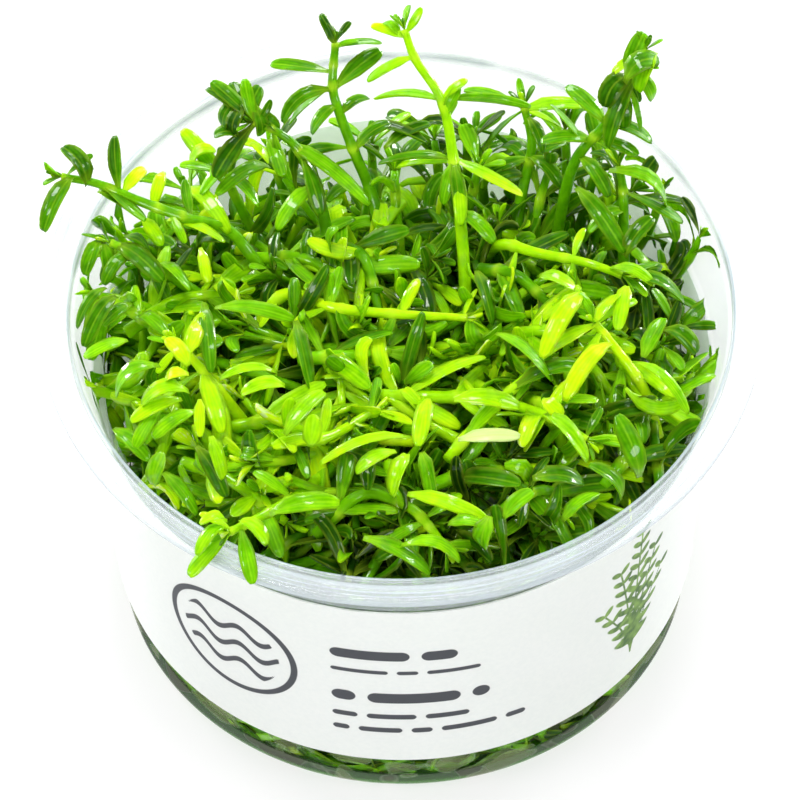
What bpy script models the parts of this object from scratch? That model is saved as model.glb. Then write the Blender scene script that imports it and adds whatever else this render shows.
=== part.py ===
"""Rotala grown in a clear tub: a turned cup, its label, the tangle that fills it and the stems above it."""

import math
import random

import bmesh
import bpy
from mathutils import Matrix, Vector, noise
from mathutils.bvhtree import BVHTree

MM = 0.001
COLLECTION = "rotala_cup"

# The cup, in millimetres. Its underside is at height 0.
CUP_HEIGHT = 60.0
RIM_RADIUS = 50.0
MOUTH_RADIUS = 45.6
NECK_FOOT_RADIUS = 43.4
NECK_FOOT_HEIGHT = 48.4
BASE_RADIUS = 40.1
BASE_CORNER = 3.0
WALL = 0.8
FLOOR = 1.2
TURNED_STEPS = 40

# The label lies in a shallow recess of the wall.
LABEL_TOP = 47.4
LABEL_BOTTOM = 9.5
LABEL_TOP_RADIUS = 43.0
LABEL_BOTTOM_RADIUS = 41.1
LABEL_THICKNESS = 0.25
GAP = 0.3

# Stems and leaves. A leaf is as wide as its length over LEAF_SLENDER, up to LEAF_WIDEST, and arches up by
# LEAF_ARCH of its length in the middle.
STEM_RADIUS = 0.85
STEM_STEPS = 6
CURVE_STEPS = 8
LEAF_THICKNESS = 0.7
LEAF_SLENDER = 3.9
LEAF_WIDEST = 2.3
LEAF_ARCH = 0.07
LAST_LEAF = 0.985

# The tangle: the height of its top in the middle, how it falls away to each side, and its lumps
TANGLE_TOP = 56.5
SIDE_FALL = 0.0045
FRONT_FALL = 0.0030
BACK_FALL = 0.0190
TANGLE_LUMPS = 4.0
LUMP_SIZE = 9.0
TANGLE_LOWEST = 33.0
TANGLE_RINGS = (0.0, 7.0, 14.0, 21.0, 28.0, 34.0, 40.0)
TANGLE_SIDE_HEIGHTS = (30.0, 14.0)
TANGLE_STEPS = 26
STEM_BED = 6.5

# The leaves that stand out of the tangle, in a spiral from its middle
TANGLE_LEAVES = 84
SPIRAL_TURN = math.radians(137.5)
SPIRAL_REACH = 37.5
TIP_REACH = 41.0
TANGLE_LEAF_LENGTH = (7.0, 9.5)
TANGLE_LEAF_RISE = (15, 60)
LEAF_SUNK = 1.4
LEAF_CLEARANCE = 2.8
SEED = 4

# Each stem has its root, which stands on the tangle, then the points of its route, and its leaves.
# A leaf is its place along the stem, from 0 to 1, its heading and rise in degrees, and its length.
STEMS = {
    "stem_centre_tall": {
        "root": (9, 4),
        "route": [(8.5, 11, 62), (7.5, 18.5, 69), (6, 24, 75), (2.5, 28, 79), (1, 31, 82)],
        "leaves": [
            (1.0, 40, 50, 4.5), (0.97, 155, 0, 5.5), (0.90, 195, -25, 7.5), (0.72, 15, 40, 5),
            (0.72, 165, -15, 10), (0.50, 165, -25, 9), (0.51, 335, -15, 11), (0.49, 275, -20, 9),
        ],
    },
    "stem_centre_left": {
        "root": (-2, 14),
        "route": [(-4, 18.5, 62), (-6, 21, 67), (-8, 24, 72), (-9, 27, 75), (-8.5, 30.5, 80)],
        "leaves": [
            (1.0, 125, 45, 5), (0.98, 0, 20, 3.5), (0.86, 165, -5, 9), (0.78, 40, 10, 9),
            (0.80, 195, -45, 9), (0.50, 170, -20, 8),
        ],
    },
    "stem_curled_tip": {
        "root": (-10, 9),
        "route": [(-10.5, 15, 61), (-13.5, 20, 68.5), (-17, 21.5, 72), (-20, 21.5, 74)],
        "leaves": [
            (1.0, 140, 20, 8.5), (1.0, 110, 50, 6.5), (1.0, 215, -45, 10), (0.97, 45, 50, 4),
            (0.88, 300, -55, 8), (0.68, 290, -30, 9),
        ],
    },
    "stem_left_reach": {
        "root": (-18, 9),
        "route": [
            (-23.5, 13, 60.5), (-29, 12.5, 64), (-36, 13.5, 67), (-41.5, 15, 69), (-46.5, 15.5, 70),
        ],
        "leaves": [
            (1.0, 240, -30, 8), (1.0, 30, 25, 5), (1.0, 170, 15, 2.8), (0.76, 95, 40, 8),
            (0.84, 325, -20, 8), (0.55, 300, -25, 5), (0.45, 100, 20, 6),
        ],
    },
    "stem_right_reach": {
        "root": (21, 15),
        "route": [(24, 20.5, 64), (28.5, 22.5, 71), (32, 25, 77), (34, 27.5, 81)],
        "leaves": [
            (1.0, 70, 55, 2.8), (0.94, 330, 20, 3.4), (0.90, 285, -50, 4), (0.84, 235, -50, 8),
            (0.55, 135, 25, 7.5), (0.58, 340, -5, 7), (0.70, 85, 35, 5.5),
        ],
    },
    "stem_right_low": {
        "root": (31, 9),
        "route": [(31, 14, 57), (31, 17, 62), (30.5, 19.5, 65.5)],
        "leaves": [(0.80, 335, -15, 9.5), (1.0, 120, 10, 4.5), (0.40, 325, -35, 8)],
    },
    "stem_back": {
        "root": (16, 18),
        "route": [(17, 22, 56), (18.5, 26, 62), (17.5, 29, 67)],
        "leaves": [
            (1.0, 100, 25, 4.5), (0.98, 165, 10, 9), (1.0, 5, -5, 9), (0.62, 190, -15, 6),
            (0.62, 20, 10, 5.5),
        ],
    },
    "stem_left_high": {
        "root": (-25, 5),
        "route": [(-30, 6.5, 57), (-36, 9, 60.5), (-40, 10.5, 61.5)],
        "leaves": [
            (1.0, 165, 10, 4.5), (0.94, 240, -35, 5.5), (0.66, 300, -35, 6.5), (0.45, 60, 5, 5.5),
        ],
    },
    "stem_left_low": {
        "root": (-30, -2),
        "route": [(-34.5, 0, 56.5), (-38.5, 1.5, 59), (-42, 2.5, 60.5)],
        "leaves": [(1.0, 255, -30, 6.5), (0.85, 250, -25, 9), (0.62, 205, -25, 6), (0.5, 100, 15, 5)],
    },
    "stem_across": {
        "root": (-21, 0),
        "route": [(-16, 3, 59), (-9, -1, 61), (0, -3, 62), (9, -3, 61)],
        "leaves": [
            (1.0, 330, -25, 6), (0.99, 60, 25, 4.5), (0.72, 240, -30, 5.5), (0.45, 200, -10, 5.5),
            (0.45, 75, 20, 6), (0.2, 235, -20, 5), (0.74, 60, 25, 5.5),
        ],
    },
    "stem_right_across": {
        "root": (11, 14),
        "route": [(14, 11.5, 58.5), (19, 8, 61), (25.5, 5.5, 62), (30.5, 4, 61)],
        "leaves": [
            (1.0, 25, -10, 6), (1.0, 325, -20, 5), (0.74, 70, 15, 5), (0.74, 260, -15, 6),
            (0.42, 255, -20, 5.5),
        ],
    },
    "stem_right_bright": {
        "root": (35, -16),
        "route": [(33, -12.5, 57), (29.5, -9, 61), (26.5, -6.5, 64)],
        "leaves": [
            (1.0, 205, -20, 9.5), (0.93, 240, -20, 11), (1.0, 120, 25, 5), (1.0, 35, 0, 7),
            (0.45, 20, -15, 7), (0.25, 335, -20, 6),
        ],
    },
    "stem_left_bright": {
        "root": (-21, -15),
        "route": [(-24.5, -13.5, 58), (-28, -11, 62), (-30.5, -9, 64)],
        "leaves": [
            (1.0, 225, -25, 5), (0.94, 60, 15, 6), (0.70, 285, -10, 10), (0.50, 275, -15, 12),
            (0.70, 215, -20, 9.5), (1.0, 155, -10, 5),
        ],
    },
    "stem_front_overhang": {
        "root": (-10, -23),
        "route": [(-14, -29.5, 57), (-19, -36, 61), (-23.5, -39.5, 62.2)],
        "leaves": [
            (1.0, 220, -25, 8.5), (0.92, 280, -8, 9), (0.70, 20, -5, 9), (1.0, 155, 15, 5),
            (0.45, 150, 20, 6.5),
        ],
    },
    "stem_front": {
        "root": (-2, -24),
        "route": [(-1, -30, 56.5), (2, -34, 58), (5.5, -38, 56)],
        "leaves": [(1.0, 10, -20, 6), (0.75, 200, -20, 6.5), (0.72, 35, 5, 6.5), (0.35, 165, 10, 6)],
    },
    "stem_front_right": {
        "root": (22, -27),
        "route": [(19, -29.5, 57), (14.5, -32.5, 58.5), (12, -35, 57.5)],
        "leaves": [(1.0, 290, -30, 5), (0.62, 60, 15, 6), (0.3, 50, 15, 6), (0.62, 255, -15, 5)],
    },
    "stem_mid_right": {
        "root": (10, -12),
        "route": [(15, -16, 58.5), (20.5, -20, 60.5), (25, -23, 59.5)],
        "leaves": [
            (1.0, 5, -20, 6.5), (1.0, 60, 20, 5), (0.66, 235, -20, 6), (0.66, 55, 10, 6.5),
            (0.35, 60, 20, 6),
        ],
    },
    "stem_mid_left": {
        "root": (-21, -20),
        "route": [(-16, -22, 58.5), (-10, -22.5, 60.5), (-4, -19, 61.5)],
        "leaves": [
            (1.0, 350, -15, 6), (1.0, 80, 0, 6), (0.6, 195, 5, 7), (0.6, 80, 15, 6),
            (0.4, 290, -10, 6),
        ],
    },
}


def clear_scene():
    for obj in list(bpy.data.objects):
        bpy.data.objects.remove(obj, do_unlink=True)


def new_collection(name):
    collection = bpy.data.collections.new(name)
    bpy.context.scene.collection.children.link(collection)
    return collection


def new_material(name, colour, roughness, transmission=0.0):
    material = bpy.data.materials.new(name)
    material.use_nodes = True
    shader = material.node_tree.nodes["Principled BSDF"]
    shader.inputs["Base Color"].default_value = (*colour, 1.0)
    shader.inputs["Roughness"].default_value = roughness
    shader.inputs["Metallic"].default_value = 0.0
    shader.inputs["Transmission Weight"].default_value = transmission
    return material


def new_object(name, mesh, collection, material=None):
    obj = bpy.data.objects.new(name, mesh)
    collection.objects.link(obj)
    if material:
        mesh.materials.append(material)
    return obj


def profile_mesh(name, points, closed):
    """A polyline in the XZ plane, from (radius, height) pairs in millimetres."""
    mesh = bpy.data.meshes.new(name)
    count = len(points)
    edges = [(i, (i + 1) % count) for i in range(count if closed else count - 1)]
    mesh.from_pydata([(r * MM, 0.0, z * MM) for r, z in points], edges, [])
    return mesh


def add_screw(obj, steps):
    screw = obj.modifiers.new("Turned", "SCREW")
    screw.axis = "Z"
    screw.angle = math.tau
    screw.steps = steps
    screw.render_steps = steps
    screw.use_merge_vertices = True
    screw.merge_threshold = 1e-5
    screw.use_smooth_shade = True
    return screw


def wall_radius(height):
    """The outside of the wall under the label and down to the base."""
    slope = (LABEL_TOP_RADIUS - LABEL_BOTTOM_RADIUS) / (LABEL_TOP - LABEL_BOTTOM)
    return LABEL_BOTTOM_RADIUS + slope * (height - LABEL_BOTTOM) - LABEL_THICKNESS - GAP


def rounded_corner(radius, height, size, steps):
    """Points of a quarter round that turns from a wall at this radius to a floor at this height."""
    turns = [math.pi / 2 * i / steps for i in range(steps + 1)]
    return [(radius - size * (1 - math.cos(a)), height + size * (1 - math.sin(a))) for a in turns]


def cup_profile():
    """The wall from the middle of the floor up the inside, over the rim and down the outside."""
    recess_top = LABEL_TOP + 0.5
    recess_bottom = LABEL_BOTTOM - 0.4
    inner_corner = BASE_CORNER - 0.4
    inside = [
        (0.0, FLOOR),
        *reversed(rounded_corner(BASE_RADIUS - WALL, FLOOR, inner_corner, 2)),
        (wall_radius(recess_top) - WALL, recess_top),
        (NECK_FOOT_RADIUS - WALL, NECK_FOOT_HEIGHT + 0.4),
        (MOUTH_RADIUS - 0.6, CUP_HEIGHT - 2.2),
        (MOUTH_RADIUS, CUP_HEIGHT - 1.8),
        (MOUTH_RADIUS, CUP_HEIGHT - 0.4),
    ]
    rim = [
        (RIM_RADIUS - 0.4, CUP_HEIGHT),
        (RIM_RADIUS, CUP_HEIGHT - 0.3),
        (RIM_RADIUS, CUP_HEIGHT - 1.3),
        (RIM_RADIUS - 0.8, CUP_HEIGHT - 1.1),
        (MOUTH_RADIUS + 0.8, CUP_HEIGHT - 1.2),
    ]
    outside = [
        (MOUTH_RADIUS + 0.3, CUP_HEIGHT - 2.4),
        (NECK_FOOT_RADIUS, NECK_FOOT_HEIGHT),
        (wall_radius(recess_top), recess_top),
        (wall_radius(recess_bottom), recess_bottom),
        (wall_radius(recess_bottom) + 0.3, recess_bottom - 0.2),
        *rounded_corner(BASE_RADIUS, 0.0, BASE_CORNER, 2),
        (0.0, 0.0),
    ]
    return inside + rim + outside


def make_cup(collection, material):
    cup = new_object("cup", profile_mesh("cup", cup_profile(), False), collection, material)
    add_screw(cup, TURNED_STEPS)
    return cup


def make_label(collection, material):
    thick = LABEL_THICKNESS
    section = [
        (LABEL_TOP_RADIUS, LABEL_TOP),
        (LABEL_BOTTOM_RADIUS, LABEL_BOTTOM),
        (LABEL_BOTTOM_RADIUS - thick, LABEL_BOTTOM),
        (LABEL_TOP_RADIUS - thick, LABEL_TOP),
    ]
    label = new_object("label", profile_mesh("label", section, True), collection, material)
    add_screw(label, TURNED_STEPS)
    return label


def tangle_height(x, y):
    """The top of the tangle: high in the middle, lower at the sides, and falling away to the back."""
    back = max(y, 0.0)
    front = min(y, 0.0)
    lumps = TANGLE_LUMPS * noise.noise(Vector((x, y, 0.0)) / LUMP_SIZE)
    return TANGLE_TOP - SIDE_FALL * x**2 - FRONT_FALL * front**2 - BACK_FALL * back**2 + lumps


def smooth_route(points, steps):
    """A Catmull-Rom curve through the points, as evenly stepped points."""
    ends = [points[0] * 2 - points[1], *points, points[-1] * 2 - points[-2]]
    dense = []
    for a, b, c, d in zip(ends, ends[1:], ends[2:], ends[3:]):
        for i in range(CURVE_STEPS):
            t = i / CURVE_STEPS
            bend = 2 * a - 5 * b + 4 * c - d
            twist = 3 * b - a - 3 * c + d
            dense.append(0.5 * (2 * b + (c - a) * t + bend * t * t + twist * t**3))
    dense.append(points[-1])
    return [point_along(dense, i / steps) for i in range(steps + 1)]


def point_along(points, share):
    lengths = [(b - a).length for a, b in zip(points, points[1:])]
    left = share * sum(lengths)
    for (a, b), length in zip(zip(points, points[1:]), lengths):
        if left <= length:
            return a.lerp(b, left / length)
        left -= length
    return points[-1].copy()


def stem_route(spec):
    x, y = spec["root"]
    root = Vector((x, y, tangle_height(x, y) + GAP))
    return smooth_route([root, *map(Vector, spec["route"])], STEM_STEPS)


def heading_vector(heading, rise):
    level = math.cos(math.radians(rise))
    turn = math.radians(heading)
    return Vector((level * math.cos(turn), level * math.sin(turn), math.sin(math.radians(rise))))


def leaf_mesh(name, base, direction, length):
    """A closed blade: a ball drawn out along its length, flattened and arched."""
    bm = bmesh.new()
    turn = Matrix.Rotation(math.pi / 2, 4, "Y")
    bmesh.ops.create_uvsphere(bm, u_segments=6, v_segments=3, radius=1.0, matrix=turn)
    side = direction.cross(Vector((0, 0, 1)))
    side = side.normalized() if side.length > 0.05 else Vector((1, 0, 0))
    up = side.cross(direction)
    width = min(length / LEAF_SLENDER, LEAF_WIDEST)
    for vertex in bm.verts:
        along = (vertex.co.x + 1) / 2
        across = vertex.co.y * width / 2
        lift = vertex.co.z * LEAF_THICKNESS / 2 + 4 * LEAF_ARCH * length * along * (1 - along)
        place = base + direction * (along * length) + side * across + up * lift
        vertex.co = place * MM
    bmesh.ops.recalc_face_normals(bm, faces=bm.faces)
    mesh = bpy.data.meshes.new(name)
    bm.to_mesh(mesh)
    bm.free()
    return mesh


def tube_mesh(name, points, radius):
    """A round stem as a bevelled curve, made a mesh with its caps welded."""
    curve = bpy.data.curves.new(name, "CURVE")
    curve.dimensions = "3D"
    curve.bevel_depth = radius * MM
    curve.bevel_resolution = 1
    curve.use_fill_caps = True
    spline = curve.splines.new("POLY")
    spline.points.add(len(points) - 1)
    for spot, point in zip(spline.points, points):
        spot.co = (*(point * MM), 1.0)
    guide = bpy.data.objects.new(name, curve)
    bpy.context.scene.collection.objects.link(guide)
    bpy.context.view_layer.update()
    graph = bpy.context.evaluated_depsgraph_get()
    mesh = bpy.data.meshes.new_from_object(guide.evaluated_get(graph))
    bpy.data.objects.remove(guide, do_unlink=True)
    bm = bmesh.new()
    bm.from_mesh(mesh)
    bmesh.ops.remove_doubles(bm, verts=bm.verts, dist=1e-6)
    bmesh.ops.recalc_face_normals(bm, faces=bm.faces)
    bm.to_mesh(mesh)
    bm.free()
    mesh.shade_smooth()
    return mesh


def fuse(obj, name, meshes, cutters):
    """Joins closed shapes to an object, each held as a hidden helper."""
    helpers = bpy.data.collections.new(name)
    cutters.children.link(helpers)
    for i, mesh in enumerate(meshes):
        helper = bpy.data.objects.new(f"{name}_{i}", mesh)
        helper.hide_render = True
        helper.display_type = "WIRE"
        helpers.objects.link(helper)
    union = obj.modifiers.new("Grown together", "BOOLEAN")
    union.operation = "UNION"
    union.operand_type = "COLLECTION"
    union.collection = helpers
    union.solver = "EXACT"


def leaf_span(points, leaf):
    """The base and tip of a leaf given by its place on the stem."""
    along, heading, rise, length = leaf
    base = point_along(points, min(along, LAST_LEAF))
    return base, base + heading_vector(heading, rise) * length


def make_stem(name, spec, collection, cutters, material):
    points = stem_route(spec)
    stem = new_object(name, tube_mesh(name, points, STEM_RADIUS), collection, material)
    leaves = []
    for leaf in spec["leaves"]:
        base, tip = leaf_span(points, leaf)
        leaves.append(leaf_mesh(name + "_leaf", base, (tip - base).normalized(), leaf[3]))
    fuse(stem, name + "_leaves", leaves, cutters)
    return stem


def all_spans():
    """Every stretch of stem and leaf above the tangle, as pairs of points."""
    spans = []
    for spec in STEMS.values():
        points = stem_route(spec)
        spans += list(zip(points, points[1:]))
        spans += [leaf_span(points, leaf) for leaf in spec["leaves"]]
    return spans


def along_spans(spans, steps):
    return [a.lerp(b, i / steps) for a, b in spans for i in range(steps + 1)]


def make_tangle_body(spots, collection, material):
    """The packed stems and leaves that fill the cup, with their top sunk where a stem lies on them."""
    foot = FLOOR + GAP
    top = [(r, CUP_HEIGHT) for r in TANGLE_RINGS]
    side = [(wall_radius(z) - WALL - GAP, z) for z in TANGLE_SIDE_HEIGHTS]
    foot_radius = BASE_RADIUS - WALL - GAP
    corner = [(foot_radius - 0.4, foot + BASE_CORNER), (foot_radius - BASE_CORNER, foot)]
    section = [*top, *side, *corner, (0.0, foot)]
    guide = new_object("tangle_guide", profile_mesh("guide", section, False), collection)
    add_screw(guide, TANGLE_STEPS)
    bpy.context.view_layer.update()
    mesh = bpy.data.meshes.new_from_object(guide.evaluated_get(bpy.context.evaluated_depsgraph_get()))
    bpy.data.objects.remove(guide, do_unlink=True)
    for vertex in mesh.vertices:
        x, y, z = vertex.co / MM
        if z < CUP_HEIGHT - 1.0:
            continue
        height = tangle_height(x, y)
        for spot in spots:
            if math.hypot(spot.x - x, spot.y - y) < STEM_BED:
                height = min(height, spot.z - STEM_RADIUS - 2 * GAP)
        vertex.co.z = max(height, TANGLE_LOWEST) * MM
    return new_object("plant_tangle", mesh, collection, material)


def tangle_leaves(tangle, spots):
    """Leaves that stand out of the tangle, spread evenly over it and clear of the free stems."""
    chance = random.Random(SEED)
    bm = bmesh.new()
    bm.from_mesh(tangle.data)
    surface = BVHTree.FromBMesh(bm)
    bm.free()
    meshes = []
    for i in range(TANGLE_LEAVES):
        radius = SPIRAL_REACH * math.sqrt((i + 0.5) / TANGLE_LEAVES)
        turn = i * SPIRAL_TURN
        heading = chance.uniform(0, 360)
        rise = chance.uniform(*TANGLE_LEAF_RISE)
        length = chance.uniform(*TANGLE_LEAF_LENGTH)
        x, y = radius * math.cos(turn), radius * math.sin(turn)
        top = surface.ray_cast(Vector((x, y, CUP_HEIGHT * 2)) * MM, Vector((0, 0, -1)))[0] / MM
        base = top - Vector((0, 0, LEAF_SUNK))
        direction = heading_vector(heading, rise)
        tip = base + direction * length
        if math.hypot(tip.x, tip.y) > TIP_REACH:
            continue
        along = [base.lerp(tip, j / 5) for j in range(6)]
        if min((spot - point).length for spot in spots for point in along) < LEAF_CLEARANCE:
            continue
        meshes.append(leaf_mesh("tangle_leaf", base, direction, length))
    return meshes


def main():
    clear_scene()
    parts = new_collection(COLLECTION)
    cutters = new_collection("joined_shapes")
    clear_plastic = new_material("clear_plastic", (0.88, 0.93, 0.94), 0.15, 0.9)
    label_film = new_material("label_film", (0.93, 0.94, 0.94), 0.4)
    leaf_green = new_material("leaf_green", (0.13, 0.42, 0.03), 0.35)
    tangle_green = new_material("tangle_green", (0.08, 0.28, 0.02), 0.4)
    make_cup(parts, clear_plastic)
    make_label(parts, label_film)
    spots = along_spans(all_spans(), 4)
    tangle = make_tangle_body(spots, parts, tangle_green)
    fuse(tangle, "tangle_leaves", tangle_leaves(tangle, spots), cutters)
    for name, spec in STEMS.items():
        make_stem(name, spec, parts, cutters, leaf_green)


main()
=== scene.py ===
"""Young rotala plants in a clear tub with a wrap label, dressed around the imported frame."""

import math
import random

import bpy
import numpy as np
from mathutils import Matrix, Vector, noise


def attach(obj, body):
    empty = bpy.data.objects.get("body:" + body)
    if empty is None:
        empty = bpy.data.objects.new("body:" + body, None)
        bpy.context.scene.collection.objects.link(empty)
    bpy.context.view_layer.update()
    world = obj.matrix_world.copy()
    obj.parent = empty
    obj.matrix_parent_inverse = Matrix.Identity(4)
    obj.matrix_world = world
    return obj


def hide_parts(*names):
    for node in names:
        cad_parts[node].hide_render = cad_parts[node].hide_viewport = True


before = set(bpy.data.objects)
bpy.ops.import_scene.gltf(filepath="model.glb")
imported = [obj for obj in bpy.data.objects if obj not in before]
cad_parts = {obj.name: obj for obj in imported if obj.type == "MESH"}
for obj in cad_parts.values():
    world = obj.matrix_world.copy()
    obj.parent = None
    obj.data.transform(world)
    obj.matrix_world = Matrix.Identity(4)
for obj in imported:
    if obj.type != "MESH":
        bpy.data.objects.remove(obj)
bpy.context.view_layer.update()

MM = 0.001

# The tub, in millimetres from its underside
CUP_HEIGHT = 60.0
RIM_RADIUS = 50.0
MOUTH_RADIUS = 45.6
NECK_FOOT_RADIUS = 43.4
NECK_FOOT_HEIGHT = 48.4
BASE_RADIUS = 40.1
BASE_CORNER = 3.0
WALL = 0.8
FLOOR = 1.2
TURNED_STEPS = 192

# The label
LABEL_TOP = 47.4
LABEL_BOTTOM = 9.5
LABEL_TOP_RADIUS = 43.0
LABEL_BOTTOM_RADIUS = 41.1
LABEL_THICKNESS = 0.25
GAP = 0.3

# What is printed on it, in millimetres round from the middle of the front and up from the underside
PRINTED_TURN = 1.25
RING_PLACE = (-26.0, 29.0)
RING_RADIUS = 10.2
RING_STROKE = 1.0
BAR_ROWS = (
    (36.4, 2.3, -10.5, (11.0, 5.0)),
    (32.2, 0.9, -10.5, (8.0, 3.0, 7.5)),
    (25.6, 2.5, -10.5, (3.4, 13.0, 2.5)),
    (20.8, 1.2, -10.5, (3.6, 7.0, 6.2)),
    (17.3, 1.2, -10.5, (2.4, 6.2, 3.0, 8.0, 3.0)),
)
SPRAY_PLACE = (36.0, 15.0)
SPRAY_STALKS = ((-6.0, 15.0), (-3.4, 23.0), (0.6, 29.0), (4.0, 22.0), (6.0, 15.0))

# The plants
STEM_RADIUS = 0.85
LEAF_THICKNESS = 0.34
LEAF_SLENDER = 3.9
LEAF_ARCH = 0.07
TANGLE_LUMPS = 4.0
SEED = 11

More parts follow.
